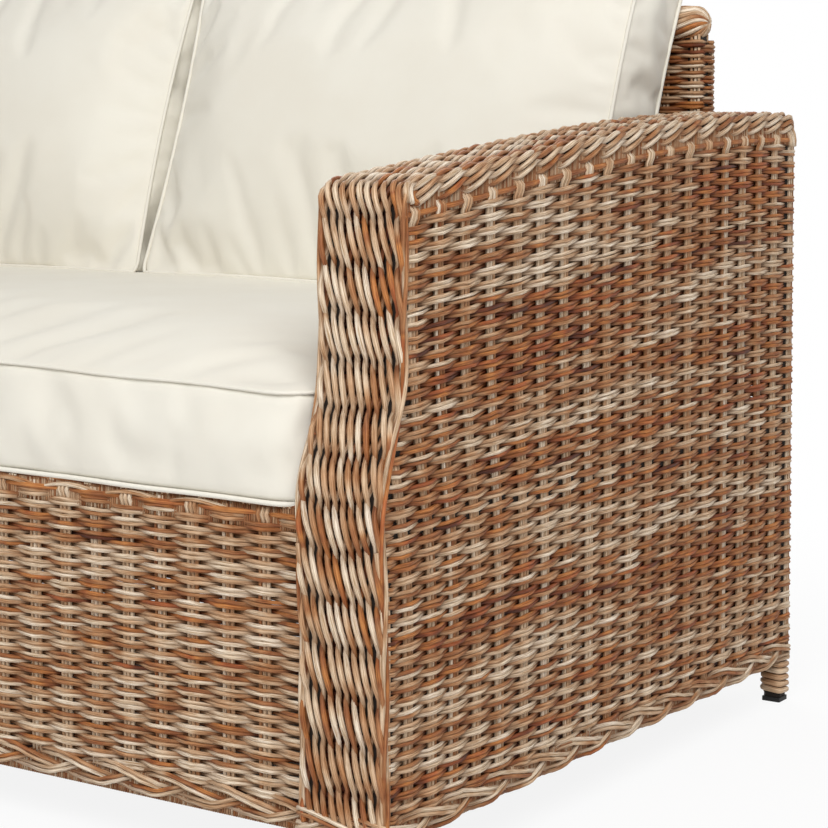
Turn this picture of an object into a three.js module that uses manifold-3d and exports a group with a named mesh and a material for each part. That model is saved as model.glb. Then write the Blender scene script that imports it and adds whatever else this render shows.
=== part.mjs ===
// Two-seat garden sofa: a welded square-tube frame dressed in woven rattan, with one bench seat
// cushion and two loose back cushions. Millimetres, +X along the seat, +Y to the back, +Z up.
// The origin lies on the ground, under the middle of the sofa.
import * as THREE from 'three';
import { mergeVertices } from 'three/addons/utils/BufferGeometryUtils.js';
import Module from 'manifold-3d';

const wasm = await Module();
wasm.setup();

// The whole sofa
const sofaWidth = 1566;       // over the braided lower edges
const sofaDepth = 849;        // from the arms' bellies to the braid at the back
const groundClearance = 46;   // from the ground to the braid
const touchGap = 0.3;         // left between pieces that touch

// Frame tubes
const tubeSize = 20;
const tubeWall = 1.6;
const tubeChamfer = 3;
const spreaderSize = 12;      // solid bars between the two loops of an arm
const lowerRailHeight = 52;   // underside of the lowest rails
const spreaderPlaceShares = [0.09, 0.25, 0.42, 0.55, 0.68, 0.85];
const crossBarCount = 5;

// Woven skins
const skin = 5;
const bandReturn = 13;        // how far the band reaches down the arm's sides
const braidHeight = 32;
const braidProud = 3;
const railStrand = 6;         // the thick strand that the stakes are looped over
const strandProud = 2.5;
const strandEndGap = 0.8;     // to the bands, because the strand meets them at a slant
const sideStrandDrop = 27;    // from the arm's top to its strand
const apronStrandDrop = 6;

// Arm, seen from the side: a straight foot, a belly, an S up to the brow, and the arched top
const armWidth = 93;
const footSetBack = 5;
const browSetBack = 34;
const bellyStart = 200;
const bellyTop = 335;
const browStart = 465;
const bellyEase = 45;
const browEase = 50;
const armFrontHeight = 624.5;
const armRearHeight = 685;
const frontCorner = 22;
const rearCorner = 25;
const archFront = 300;
const archFrontRise = 31.5;
const archRear = 292;
const archCrown = 5;

// Back
const backHeight = 810;
const backSetIn = 11;         // behind it, to the back of the arms
const backEndGap = 8;         // beside it, to the arms
const rollRadius = 21;
const rollProud = 1.5;
const rollBevel = 6;
const hoopCorner = 32;
const backMidHeight = 560;

// Seat
const apronSetBack = 20;
const seatRailTop = 333.4;
const deckSkin = 4;

// Legs and feet
const wrapSkin = 1.5;
const wrapTurns = 7;
const wrapGroove = 0.6;
const wrapCorner = 3;
const capFlange = 5;
const capLip = 1;
const plugLength = 25;
const plugSlack = 0.4;
const plugTip = 2;

// Seat cushion
const seatCushionSide = 98;
const seatCrown = 48;
const seatCrownReach = 62;
const seatCushionCorner = 34;
const seatEndGap = 4;
const seatRearGap = 9;
const seatDrawIn = 4;
const seatBulge = 2;
const seamRound = 5;

// Back cushions
const backCushionHeight = 430;
const backCushionSide = 100;
const backFrontCrown = 46;
const backRearCrown = 6;
const backCrownReach = 60;
const backCushionCorner = 30;
const backDrawIn = 9;
const backBulge = 3;
const cushionJoint = 6;
const backSideGap = 32;
const backLean = THREE.MathUtils.degToRad(19);
const backSinkIn = 24;        // how far the cushion's lower back edge gives on the seat
const backFootShare = 0.25;   // of the seat's depth, from the back to where that edge rests

const overrun = 10;
const curveSteps = 7;
const cornerSteps = 4;
const edgeSteps = 2;
const archSteps = 10;
const strandSides = 8;
const rollSteps = 10;
const rollBevelSteps = 3;
const crownSteps = 8;
const cushionCornerSteps = 4;
const cushionSideSteps = 5;

// Places worked out from the sizes above
const armOuter = sofaWidth / 2 - braidProud;
const armInner = armOuter - armWidth;
const armMiddle = (armOuter + armInner) / 2;
const armRear = sofaDepth / 2 - braidProud;
const belly = -sofaDepth / 2;
const foot = belly + footSetBack;
const brow = belly + browSetBack;
const apronFront = belly + apronSetBack;
const braidTop = groundClearance + braidHeight;
const weaveFoot = braidTop + touchGap;
const tubeInset = skin + touchGap;
const edgeRadius = skin + tubeChamfer; // the band turns its edges round the tubes' chamfers
const tubeBore = tubeSize - 2 * tubeWall;
const outerLoop = armWidth / 2 - tubeInset - tubeSize / 2; // from the arm's middle plane
const backRear = armRear - backSetIn;
const backMiddle = backRear - skin - touchGap - tubeSize / 2;
const backFront = backMiddle - tubeSize / 2 - touchGap - skin;
const backEnd = armInner - backEndGap;
const hoopSide = backEnd - tubeInset - tubeSize / 2;
const hoopTop = backHeight - rollRadius;
const rollFoot = hoopTop - rollRadius;
const frontRailY = apronFront + tubeInset + tubeSize / 2;
const rearRailY = backMiddle - tubeSize - touchGap;
const seatRailZ = seatRailTop - tubeSize / 2;
const lowerRailZ = lowerRailHeight + tubeSize / 2;
const railEnd = armInner + skin;
const deckTop = seatRailTop + touchGap + deckSkin;
const tubeFoot = capFlange + touchGap;

const colours = {
  tube: { color: 0x4a3a2e, roughness: 0.5, metalness: 0.6 },
  rattan: { color: 0xb08a63, roughness: 0.6, metalness: 0 },
  paleRattan: { color: 0xc4b39b, roughness: 0.6, metalness: 0 },
  foot: { color: 0x161616, roughness: 0.55, metalness: 0 },
  canvas: { color: 0xeeeae0, roughness: 0.95, metalness: 0 },
};

const sofa = new THREE.Group();

function addMesh(group, name, geometry, finish) {
  const mesh = new THREE.Mesh(geometry, new THREE.MeshStandardMaterial(colours[finish]));
  mesh.name = name;
  group.add(mesh);
  return mesh;
}

// Closed surfaces, with their faces pointing out

function signedVolume(points, faces) {
  return faces.reduce((sum, [a, b, c]) => {
    const across = new THREE.Vector3().crossVectors(points[b], points[c]);
    return sum + points[a].dot(across);
  }, 0);
}

function closedSurface(points, faces) {
  const turned = signedVolume(points, faces) < 0;
  const geometry = new THREE.BufferGeometry().setFromPoints(points);
  geometry.setIndex(faces.flatMap(([a, b, c]) => (turned ? [a, c, b] : [a, b, c])));
  geometry.computeVertexNormals();
  return geometry;
}

// Joins rings of equal counts, and closes both ends with the triangles of the flat section.
function loft(rings, section) {
  const count = rings[0].length;
  const points = rings.flat();
  const faces = [];
  for (let row = 0; row < rings.length - 1; row += 1) {
    for (let i = 0; i < count; i += 1) {
      const next = (i + 1) % count;
      const [a, b] = [row * count + i, row * count + next];
      faces.push([a, b, b + count], [a, b + count, a + count]);
    }
  }
  const flat = section.map(([across, out]) => new THREE.Vector2(across, out));
  const last = points.length - count;
  const clockwise = THREE.ShapeUtils.area(flat) < 0;
  for (const [a, b, c] of THREE.ShapeUtils.triangulateShape(flat, [])) {
    const [from, to] = clockwise ? [a, c] : [c, a];
    faces.push([from, b, to], [last + to, last + b, last + from]);
  }
  return closedSurface(points, faces);
}

// Solids for cuts and joins

function solidFrom(geometry) {
  const bare = geometry.clone();
  bare.deleteAttribute('normal');
  bare.deleteAttribute('uv');
  const merged = mergeVertices(bare);
  return new wasm.Manifold(new wasm.Mesh({
    numProp: 3,
    vertProperties: new Float32Array(merged.attributes.position.array),
    triVerts: new Uint32Array(merged.index.array),
  }));
}

function geometryFrom(solid) {
  const mesh = solid.getMesh();
  const geometry = new THREE.BufferGeometry();
  geometry.setAttribute('position', new THREE.BufferAttribute(mesh.vertProperties, mesh.numProp));
  geometry.setIndex(new THREE.BufferAttribute(mesh.triVerts, 1));
  geometry.computeVertexNormals();
  return geometry;
}

const joined = (geometries) => geometries.map(solidFrom).reduce((all, one) => all.add(one));
const cutFrom = (geometry, cutters) => geometryFrom(solidFrom(geometry).subtract(joined(cutters)));

// Lines in a plane, as lists of Vector2

function outwardAt(line, i) {
  const before = line[Math.max(i - 1, 0)];
  const after = line[Math.min(i + 1, line.length - 1)];
  const normals = [[before, line[i]], [line[i], after]]
    .filter(([from, to]) => from !== to)
    .map(([from, to]) => to.clone().sub(from).normalize())
    .map((way) => new THREE.Vector2(-way.y, way.x));
  const mean = normals.reduce((sum, n) => sum.clone().add(n)).normalize();
  return mean.divideScalar(mean.dot(normals[0]));
}

const offsetLine = (line, distance) =>
  line.map((point, i) => outwardAt(line, i).multiplyScalar(distance).add(point));

function joinLines(...lines) {
  const all = lines.flat();
  return all.filter((point, i) => i === 0 || point.distanceTo(all[i - 1]) > touchGap / 2);
}

function pointAlong(line, share) {
  const spans = line.slice(1).map((point, i) => point.distanceTo(line[i]));
  let left = share * spans.reduce((sum, span) => sum + span);
  const at = spans.findIndex((span) => {
    left -= span;
    return left <= 0;
  });
  return line[at + 1].clone().lerp(line[at], -left / spans[at]);
}

// Sweeps a section of [across, outward] points along a line, which stays in one plane.
function sweepSection(line, section, place) {
  const lanes = section.map(([across, out]) =>
    offsetLine(line, out).map((point) => place(across, point.x, point.y)));
  return loft(line.map((_, row) => lanes.map((lane) => lane[row])), section);
}

// Sections

function roundSection(radius, sides) {
  return Array.from({ length: sides }, (_, i) => {
    const angle = (2 * Math.PI * (i + 0.5)) / sides;
    return [radius * Math.cos(angle), radius * Math.sin(angle)];
  });
}

function squareSection(size, chamfer) {
  const [half, short] = [size / 2, size / 2 - chamfer];
  return [[half, -short], [half, short], [short, half], [-short, half],
    [-half, short], [-half, -short], [-short, -half], [short, -half]];
}

const boreSection = (size) => squareSection(size, 0).filter((_, i) => i % 2 === 0);

function shapeFrom(section) {
  return new THREE.Shape(section.map(([x, y]) => new THREE.Vector2(x, y)));
}

// An extruded shape stands along +Z. These lay it along +X or +Y.
function layAlong(geometry, axis) {
  const x = new THREE.Vector3(1, 0, 0);
  const y = new THREE.Vector3(0, 1, 0);
  const z = new THREE.Vector3(0, 0, 1);
  const turn = axis === 'x' ? [y, z, x] : [z, x, y];
  return geometry.applyMatrix4(new THREE.Matrix4().makeBasis(...turn));
}

const prism = (shape, length) =>
  new THREE.ExtrudeGeometry(shape, { depth: length, bevelEnabled: false });

function sheet(lowX, highX, lowZ, highZ) {
  const corners = [[lowX, lowZ], [highX, lowZ], [highX, highZ], [lowX, highZ]];
  return shapeFrom(corners);
}

function straightTube(length, axis) {
  const shape = shapeFrom(squareSection(tubeSize, tubeChamfer));
  const bore = boreSection(tubeBore).reverse();
  shape.holes.push(new THREE.Path(bore.map(([x, y]) => new THREE.Vector2(x, y))));
  const tube = prism(shape, length).translate(0, 0, -length / 2);
  return layAlong(tube, axis);
}

// The arm's outline from the side, in three stretches. The woven skins turn its two corners in
// a curve, and the tubes inside them in two mitres.

function armFrontLine(bottom, mitred) {
  const path = new THREE.Path();
  path.moveTo(foot, bottom);
  path.lineTo(foot, bellyStart);
  path.bezierCurveTo(foot, bellyStart + bellyEase, belly, bellyTop - bellyEase, belly, bellyTop);
  path.bezierCurveTo(belly, bellyTop + browEase, brow, browStart - browEase, brow, browStart);
  path.lineTo(brow, armFrontHeight - frontCorner);
  const onArch = pointOnArch(frontCorner);
  if (mitred) {
    path.lineTo(onArch.x, onArch.y);
  } else {
    path.quadraticCurveTo(brow, armFrontHeight, onArch.x, onArch.y);
  }
  const end = pointOnArch(frontCorner + bandReturn);
  path.lineTo(end.x, end.y);
  return path.getPoints(curveSteps);
}

const archCurve = new THREE.CubicBezierCurve(
  new THREE.Vector2(brow, armFrontHeight),
  new THREE.Vector2(brow + archFront, armFrontHeight + archFrontRise),
  new THREE.Vector2(armRear - archRear, armRearHeight + archCrown),
  new THREE.Vector2(armRear, armRearHeight),
);

function pointOnArch(reach) {
  return archCurve.getPointAt(reach / archCurve.getLength());
}

function archLine(front, rear) {
  const length = archCurve.getLength();
  const [from, to] = [front / length, 1 - rear / length];
  return Array.from({ length: archSteps + 1 }, (_, i) =>
    archCurve.getPointAt(from + ((to - from) * i) / archSteps));
}

function armTopLine(front, mitred) {
  const line = archLine(front, rearCorner);
  const corner = new THREE.QuadraticBezierCurve(
    line[archSteps],
    new THREE.Vector2(armRear, armRearHeight),
    new THREE.Vector2(armRear, armRearHeight - rearCorner),
  );
  const end = new THREE.Vector2(armRear, armRearHeight - rearCorner - bandReturn);
  return joinLines(line, corner.getPoints(mitred ? 1 : cornerSteps), [end]);
}

// The three stretches meet past the corners, where the outline runs straight.
function armRearLine(gap, bottom) {
  const top = armRearHeight - rearCorner - bandReturn - gap;
  return [new THREE.Vector2(armRear, top), new THREE.Vector2(armRear, bottom)];
}

const wholeArmLine = (bottom, mitred) => joinLines(
  armFrontLine(bottom, mitred),
  armTopLine(frontCorner + bandReturn, mitred),
  armRearLine(0, bottom),
);

// One arm. Its parts are measured from its middle plane, with outward to the sofa's side.

function bandSection() {
  const half = armWidth / 2;
  const arc = (radius, from) => Array.from({ length: edgeSteps + 1 }, (_, i) => {
    const angle = from + (Math.PI / 2) * (i / edgeSteps);
    return [Math.cos(angle), Math.sin(angle)].map((part) => part * radius);
  });
  const at = (sign) => ([x, y]) => [x + sign * (half - edgeRadius), y - edgeRadius];
  const inner = edgeRadius - skin;
  return [
    [half, -bandReturn],
    ...arc(edgeRadius, 0).map(at(1)),
    ...arc(edgeRadius, Math.PI / 2).map(at(-1)),
    [-half, -bandReturn],
    [skin - half, -bandReturn],
    ...arc(inner, Math.PI / 2).map(at(-1)).reverse(),
    ...arc(inner, 0).map(at(1)).reverse(),
    [half - skin, -bandReturn],
  ];
}

function armPlace(side, shift = 0) {
  return (across, y, z) => new THREE.Vector3(side * (across + shift), y, z);
}

const tubeLine = (bottom) => offsetLine(wholeArmLine(bottom, true), -tubeInset - tubeSize / 2);

// A loop of tube with its lower and seat rails, bored through so that its inside is open
// at the lower ends.
function armLoop(side, shift, bottom) {
  const line = tubeLine(bottom);
  const [start, end] = [line[0], line[line.length - 1]];
  const longer = [
    start.clone().setY(start.y - overrun),
    ...line.slice(1, -1),
    end.clone().setY(end.y - overrun),
  ];
  const place = armPlace(side, shift);
  const [wall, bore] = [squareSection(tubeSize, tubeChamfer), boreSection(tubeBore)];
  const railAt = (z, section, reach) => {
    const [from, to] = [frontTubeAt(line, z) - reach, end.x + reach];
    const ends = [new THREE.Vector2(from, z), new THREE.Vector2(to, z)];
    return sweepSection(ends, section, place);
  };
  const heights = [lowerRailZ, seatRailZ];
  const outer = joined([
    sweepSection(line, wall, place),
    ...heights.map((z) => railAt(z, wall, tubeWall - tubeSize / 2)),
  ]);
  const bores = joined([
    sweepSection(longer, bore, place),
    ...heights.map((z) => railAt(z, bore, 0)),
  ]);
  return outer.subtract(bores);
}

// Where the front tube's middle lies at a height
function frontTubeAt(line, z) {
  const above = line.findIndex((point) => point.y > z);
  const [low, high] = [line[above - 1], line[above]];
  return THREE.MathUtils.mapLinear(z, low.y, high.y, low.x, high.x);
}

function spreaders(side) {
  const line = tubeLine(lowerRailHeight);
  const from = tubeSize / 2 - tubeWall / 2 - outerLoop;
  const to = outerLoop - tubeSize / 2 - touchGap;
  const shape = shapeFrom(squareSection(spreaderSize, tubeWall));
  return spreaderPlaceShares.map((share) => {
    const at = pointAlong(line, share);
    const bar = layAlong(prism(shape, to - from), 'x');
    return bar.translate(side > 0 ? from : -to, at.x, at.y);
  });
}

function armPanel(side, outward) {
  const outline = offsetLine(wholeArmLine(weaveFoot, false), -bandReturn - touchGap);
  const panel = layAlong(prism(new THREE.Shape(outline), skin), 'x');
  const face = side * outward * (armWidth / 2);
  return panel.translate(side * outward > 0 ? face - skin : face, 0, 0);
}

function armSideStrand(side, radius) {
  const line = offsetLine(archLine(0, 0), -sideStrandDrop);
  line[0].x = brow + bandReturn + strandEndGap;
  line[archSteps].x = armRear - bandReturn - strandEndGap;
  const centre = armWidth / 2 + strandProud - railStrand / 2;
  return sweepSection(line, roundSection(radius, strandSides), armPlace(side, centre));
}

function railClearance(y, z) {
  const shape = shapeFrom(squareSection(tubeSize + 2 * touchGap, tubeChamfer));
  const length = skin + 2 * overrun;
  return layAlong(prism(shape, length), 'x').translate(-length / 2, y, z);
}

function addArm(side) {
  const name = side > 0 ? 'right' : 'left';
  const arm = new THREE.Group();
  arm.position.x = side * armMiddle;
  sofa.add(arm);

  const outer = armLoop(side, outerLoop, tubeFoot);
  addMesh(arm, `arm_outer_frame_${name}`, geometryFrom(outer), 'tube');
  const inner = armLoop(side, -outerLoop, lowerRailHeight).add(joined(spreaders(side)));
  addMesh(arm, `arm_inner_frame_${name}`, geometryFrom(inner), 'tube');

  const section = bandSection();
  const place = armPlace(side);
  const front = armFrontLine(weaveFoot, false);
  const top = armTopLine(frontCorner + bandReturn + touchGap, false);
  const rear = armRearLine(touchGap, weaveFoot);
  addMesh(arm, `arm_front_band_${name}`, sweepSection(front, section, place), 'paleRattan');
  addMesh(arm, `arm_top_band_${name}`, sweepSection(top, section, place), 'paleRattan');
  addMesh(arm, `arm_rear_weave_${name}`, sweepSection(rear, section, place), 'rattan');

  const groove = armSideStrand(side, railStrand / 2 + touchGap);
  const outerWeave = cutFrom(armPanel(side, 1), [groove]);
  addMesh(arm, `arm_outer_weave_${name}`, outerWeave, 'rattan');
  addMesh(arm, `arm_side_strand_${name}`, armSideStrand(side, railStrand / 2), 'paleRattan');
  const innerFace = -side * (armWidth / 2 - skin / 2);
  const rails = [frontRailY, rearRailY].map((y) =>
    railClearance(y, seatRailZ).translate(innerFace, 0, 0));
  addMesh(arm, `arm_inner_weave_${name}`, cutFrom(armPanel(side, -1), rails), 'rattan');
  addArmBraids(arm, side, name);
}

// Braided lower edges: a rounded bar that stands a little proud of the weave above it

function braidShape() {
  const [depth, height] = [skin + braidProud, braidHeight];
  const shape = new THREE.Shape();
  shape.moveTo(0, 0);
  shape.lineTo(depth - braidProud, 0);
  shape.quadraticCurveTo(depth, 0, depth, braidProud);
  shape.quadraticCurveTo(depth - braidProud / 2, height / 2, depth, height - braidProud);
  shape.quadraticCurveTo(depth, height, depth - braidProud, height);
  shape.lineTo(0, height);
  return shape;
}

// A braid's shape has its back at x = 0, so turn says which way its face looks.
function braidAlongX(length, turn) {
  const geometry = new THREE.ExtrudeGeometry(braidShape(), {
    depth: length, bevelEnabled: false, curveSegments: cornerSteps,
  });
  return layAlong(geometry.translate(0, 0, -length / 2), 'x').rotateZ(turn);
}

function addBraid(group, name, length, turn, x, y) {
  const mesh = addMesh(group, name, braidAlongX(length, turn), 'paleRattan');
  mesh.position.set(x, y, groundClearance);
  return mesh;
}

function addArmBraids(arm, side, name) {
  const reach = armWidth + braidProud;
  const shift = side * (braidProud / 2);
  addBraid(arm, `arm_front_braid_${name}`, reach, Math.PI, shift, foot + skin);
  addBraid(arm, `arm_rear_braid_${name}`, reach, 0, shift, armRear - skin);
  const [from, to] = [foot + skin + touchGap, armRear - skin - touchGap];
  const turn = (side * -Math.PI) / 2;
  const back = side * (armWidth / 2 - skin);
  addBraid(arm, `arm_side_braid_${name}`, to - from, turn, back, (from + to) / 2);
}

// Rails and seat

function addTube(name, length, axis, x, y, z) {
  addMesh(sofa, name, straightTube(length, axis), 'tube').position.set(x, y, z);
}

function addSeatFrame() {
  addTube('seat_front_rail', 2 * railEnd, 'x', 0, frontRailY, seatRailZ);
  addTube('seat_rear_rail', 2 * railEnd, 'x', 0, rearRailY, seatRailZ);
  addTube('apron_lower_rail', 2 * railEnd, 'x', 0, frontRailY, lowerRailZ);
  addTube('back_lower_rail', 2 * railEnd, 'x', 0, rearRailY, lowerRailZ);
  const span = rearRailY - frontRailY - tubeSize - 2 * touchGap;
  const pitch = (2 * armInner) / crossBarCount;
  for (let i = 0; i < crossBarCount; i += 1) {
    const x = pitch * (i - (crossBarCount - 1) / 2);
    addTube(`seat_cross_bar_${i + 1}`, span, 'y', x, (rearRailY + frontRailY) / 2, seatRailZ);
  }
}

function apronStrand(radius) {
  const ends = [1, -1].map((sign) => new THREE.Vector2(
    sign * (touchGap - armInner), seatRailTop - apronStrandDrop));
  const y = apronFront - strandProud + railStrand / 2;
  return sweepSection(ends, roundSection(radius, strandSides), (across, x, z) =>
    new THREE.Vector3(x, y + across, z));
}

function addApronAndDeck() {
  const reach = armInner - touchGap;
  const apron = prism(sheet(-reach, reach, weaveFoot, seatRailTop), skin);
  const standing = apron.rotateX(Math.PI / 2).translate(0, apronFront + skin, 0);
  const groove = apronStrand(railStrand / 2 + touchGap);
  addMesh(sofa, 'apron_weave', cutFrom(standing, [groove]), 'rattan');
  addMesh(sofa, 'apron_strand', apronStrand(railStrand / 2), 'paleRattan');
  addBraid(sofa, 'apron_braid', 2 * reach, Math.PI, 0, apronFront + skin);

  const deck = prism(sheet(-reach, reach, apronFront, backFront - touchGap), deckSkin);
  addMesh(sofa, 'seat_deck', deck, 'rattan').position.z = deckTop - deckSkin;
}

// Back: a hoop of tube between four woven skins, under a wrapped roll

function hoopLine() {
  const path = new THREE.Path();
  const [side, top, corner] = [hoopSide, hoopTop, hoopCorner];
  path.moveTo(-side, lowerRailHeight);
  path.lineTo(-side, top - corner);
  path.quadraticCurveTo(-side, top, corner - side, top);
  path.lineTo(side - corner, top);
  path.quadraticCurveTo(side, top, side, top - corner);
  path.lineTo(side, lowerRailHeight);
  return path.getPoints(cornerSteps);
}

const hoopPlace = (across, x, z) => new THREE.Vector3(x, backMiddle + across, z);

function hoopTube() {
  const line = hoopLine();
  const longer = line.map((point) => point.clone());
  longer[0].y -= overrun;
  longer[longer.length - 1].y -= overrun;
  const outer = sweepSection(line, squareSection(tubeSize, tubeChamfer), hoopPlace);
  return cutFrom(outer, [sweepSection(longer, boreSection(tubeBore), hoopPlace)]);
}

function backRoll() {
  const [half, bevel] = [rollRadius, rollBevel];
  const shape = new THREE.Shape();
  const radius = half - bevel;
  shape.moveTo(radius, bevel - half);
  shape.lineTo(radius, 0);
  shape.absarc(0, 0, radius, 0, Math.PI);
  shape.lineTo(-radius, bevel - half);
  const length = 2 * (backEnd + rollProud - bevel);
  const roll = new THREE.ExtrudeGeometry(shape, {
    depth: length,
    bevelThickness: bevel,
    bevelSize: bevel,
    bevelSegments: rollBevelSteps,
    curveSegments: rollSteps,
  });
  layAlong(roll.translate(0, 0, -length / 2), 'x').translate(0, backMiddle, hoopTop);
  const clearance = squareSection(tubeSize + 2 * touchGap, tubeChamfer);
  return cutFrom(roll, [sweepSection(hoopLine(), clearance, hoopPlace)]);
}

function addBack() {
  addMesh(sofa, 'back_hoop', hoopTube(), 'tube');
  const inside = 2 * (hoopSide - tubeSize / 2 - touchGap);
  addTube('back_mid_rail', inside, 'x', 0, backMiddle, backMidHeight);
  addMesh(sofa, 'back_top_roll', backRoll(), 'paleRattan');

  const top = rollFoot - touchGap;
  const reach = backEnd - skin - touchGap;
  const shoulder = seatRailTop + touchGap;
  const front = prism(sheet(-reach, reach, shoulder, top), skin).rotateX(Math.PI / 2);
  addMesh(sofa, 'back_front_weave', front, 'rattan').position.y = backFront + skin;

  const low = armInner - touchGap;
  const outline = shapeFrom([[-low, weaveFoot], [low, weaveFoot], [low, seatRailTop],
    [reach, seatRailTop], [reach, top], [-reach, top], [-reach, seatRailTop], [-low, seatRailTop]]);
  const rear = prism(outline, skin).rotateX(Math.PI / 2);
  addMesh(sofa, 'back_rear_weave', rear, 'rattan').position.y = backRear;
  addBraid(sofa, 'back_braid', 2 * low, 0, 0, backRear - skin);

  for (const side of [1, -1]) {
    const strip = layAlong(prism(sheet(backFront, backRear, shoulder, top), skin), 'x');
    const name = side > 0 ? 'back_end_weave_right' : 'back_end_weave_left';
    addMesh(sofa, name, strip, 'rattan').position.x = side > 0 ? backEnd - skin : -backEnd;
  }
}

// Legs: each ends in a wound sleeve and a black cap, whose plug sits in the tube

function roundedSquare(half, corner) {
  return [0, 1, 2, 3].flatMap((quarter) => [0, 1].map((end) => {
    const angle = (Math.PI / 2) * (quarter + end);
    const turn = (Math.PI / 2) * quarter + Math.PI / 4;
    const centre = (half - corner) * Math.SQRT2;
    return [
      centre * Math.cos(turn) + corner * Math.cos(angle),
      centre * Math.sin(turn) + corner * Math.sin(angle),
    ];
  }));
}

function legWrap() {
  const [bottom, top] = [tubeFoot + touchGap, groundClearance - touchGap];
  const half = tubeSize / 2 + touchGap + wrapSkin;
  const turn = (top - bottom) / wrapTurns;
  const rings = [];
  const ringAt = (z, inset) => roundedSquare(half - inset, wrapCorner)
    .map(([x, y]) => new THREE.Vector3(x, y, z));
  for (let i = 0; i < wrapTurns; i += 1) {
    const low = bottom + i * turn;
    rings.push(ringAt(low, wrapGroove), ringAt(low + turn / 2, 0));
  }
  rings.push(ringAt(top, wrapGroove));
  const sleeve = loft(rings, roundedSquare(half, wrapCorner));
  const bore = prism(shapeFrom(squareSection(tubeSize + 2 * touchGap, tubeChamfer)), top + overrun);
  return cutFrom(sleeve, [bore]);
}

function footCap() {
  const half = tubeSize / 2 + capLip;
  const flange = prism(shapeFrom(roundedSquare(half, capLip)), capFlange);
  const plug = tubeBore / 2 - plugSlack;
  const levels = [[0, 0], [plugLength - plugTip, 0], [plugLength, plugTip]];
  const rings = levels.map(([rise, inset]) => squareSection(2 * (plug - inset), tubeChamfer / 2)
    .map(([x, y]) => new THREE.Vector3(x, y, capFlange / 2 + rise)));
  return geometryFrom(joined([flange, loft(rings, squareSection(2 * plug, tubeChamfer / 2))]));
}

function addLegs() {
  const x = armOuter - tubeInset - tubeSize / 2;
  const frontY = foot + tubeInset + tubeSize / 2;
  const rearY = armRear - tubeInset - tubeSize / 2;
  for (const [end, y] of [['front', frontY], ['rear', rearY]]) {
    for (const [name, side] of [['left', -1], ['right', 1]]) {
      const leg = new THREE.Group();
      leg.position.set(side * x, y, 0);
      sofa.add(leg);
      addMesh(leg, `leg_wrap_${end}_${name}`, legWrap(), 'paleRattan');
      addMesh(leg, `foot_cap_${end}_${name}`, footCap(), 'foot');
    }
  }
}

// Cushions: rings of a rounded rectangle, drawn in along the middle of each side, and crowned

// The crown climbs from each seam and levels out over the reach.
function crownAt(size, crown, x, y) {
  const rise = (length, at) => 1 - Math.exp((Math.abs(at) - length / 2) / size.reach);
  return crown * Math.max(0, rise(size.width, x)) * Math.max(0, rise(size.depth, y));
}

function cushionRing(size, inset, base, crown) {
  const [halfW, halfD] = [size.width / 2 - inset, size.depth / 2 - inset];
  const corner = Math.max(size.corner - inset, seamRound);
  const ring = [];
  const centres = [[1, 1], [-1, 1], [-1, -1], [1, -1]]
    .map(([x, y]) => [x * (halfW - corner), y * (halfD - corner)]);
  centres.forEach(([x, y], quarter) => {
    for (let i = 0; i <= cushionCornerSteps; i += 1) {
      const angle = (Math.PI / 2) * (quarter + i / cushionCornerSteps);
      ring.push([x + corner * Math.cos(angle), y + corner * Math.sin(angle)]);
    }
    const [fromX, fromY] = ring[ring.length - 1];
    const turn = (Math.PI / 2) * (quarter + 1);
    const [nextX, nextY] = centres[(quarter + 1) % 4];
    const [toX, toY] = [nextX + corner * Math.cos(turn), nextY + corner * Math.sin(turn)];
    for (let i = 1; i < cushionSideSteps; i += 1) {
      const share = i / cushionSideSteps;
      ring.push([fromX + (toX - fromX) * share, fromY + (toY - fromY) * share]);
    }
  });
  return ring.map(([x, y]) => {
    const pullX = (size.drawIn * 2 / size.width) * (1 - (y / halfD) ** 2);
    const pullY = (size.drawIn * 2 / size.depth) * (1 - (x / halfW) ** 2);
    const height = base + crownAt(size, crown, x, y);
    return new THREE.Vector3(x * (1 - pullX), y * (1 - pullY), height);
  });
}

// Measured from the middle of its lower seam's plane, with the crowned face up
function cushionForm(size) {
  const rings = [];
  const most = Math.min(size.width, size.depth) / 2 - 2 * seamRound;
  for (let i = crownSteps; i > 0; i -= 1) {
    const inset = most * (i / crownSteps) ** 2;
    rings.push(cushionRing(size, inset, 0, -size.crownUnder));
  }
  rings.push(cushionRing(size, 0, seamRound, 0));
  rings.push(cushionRing(size, -size.bulge, size.side / 2, 0));
  rings.push(cushionRing(size, 0, size.side - seamRound, 0));
  for (let i = 1; i <= crownSteps; i += 1) {
    rings.push(cushionRing(size, most * (i / crownSteps) ** 2, size.side, size.crown));
  }
  return loft(rings, rings[0].map((point) => [point.x, point.y]));
}

const seatCushion = {
  width: 2 * (armInner - seatEndGap),
  depth: backFront - seatRearGap - apronFront,
  side: seatCushionSide,
  crown: seatCrown,
  crownUnder: 0,
  reach: seatCrownReach,
  corner: seatCushionCorner,
  drawIn: seatDrawIn,
  bulge: seatBulge,
};
const seatCushionY = (backFront - seatRearGap + apronFront) / 2;
const seatCushionFoot = deckTop + touchGap;

const backCushion = {
  width: armInner - backSideGap - cushionJoint / 2,
  depth: backCushionHeight,
  side: backCushionSide,
  crown: backFrontCrown,
  crownUnder: backRearCrown,
  reach: backCrownReach,
  corner: backCushionCorner,
  drawIn: backDrawIn,
  bulge: backBulge,
};

// The height of the seat cushion's crowned top under a point
function seatTopAt(x, y) {
  const seam = seatCushionFoot + seatCushion.side;
  return seam + crownAt(seatCushion, seatCushion.crown, x, y - seatCushionY);
}

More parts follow.
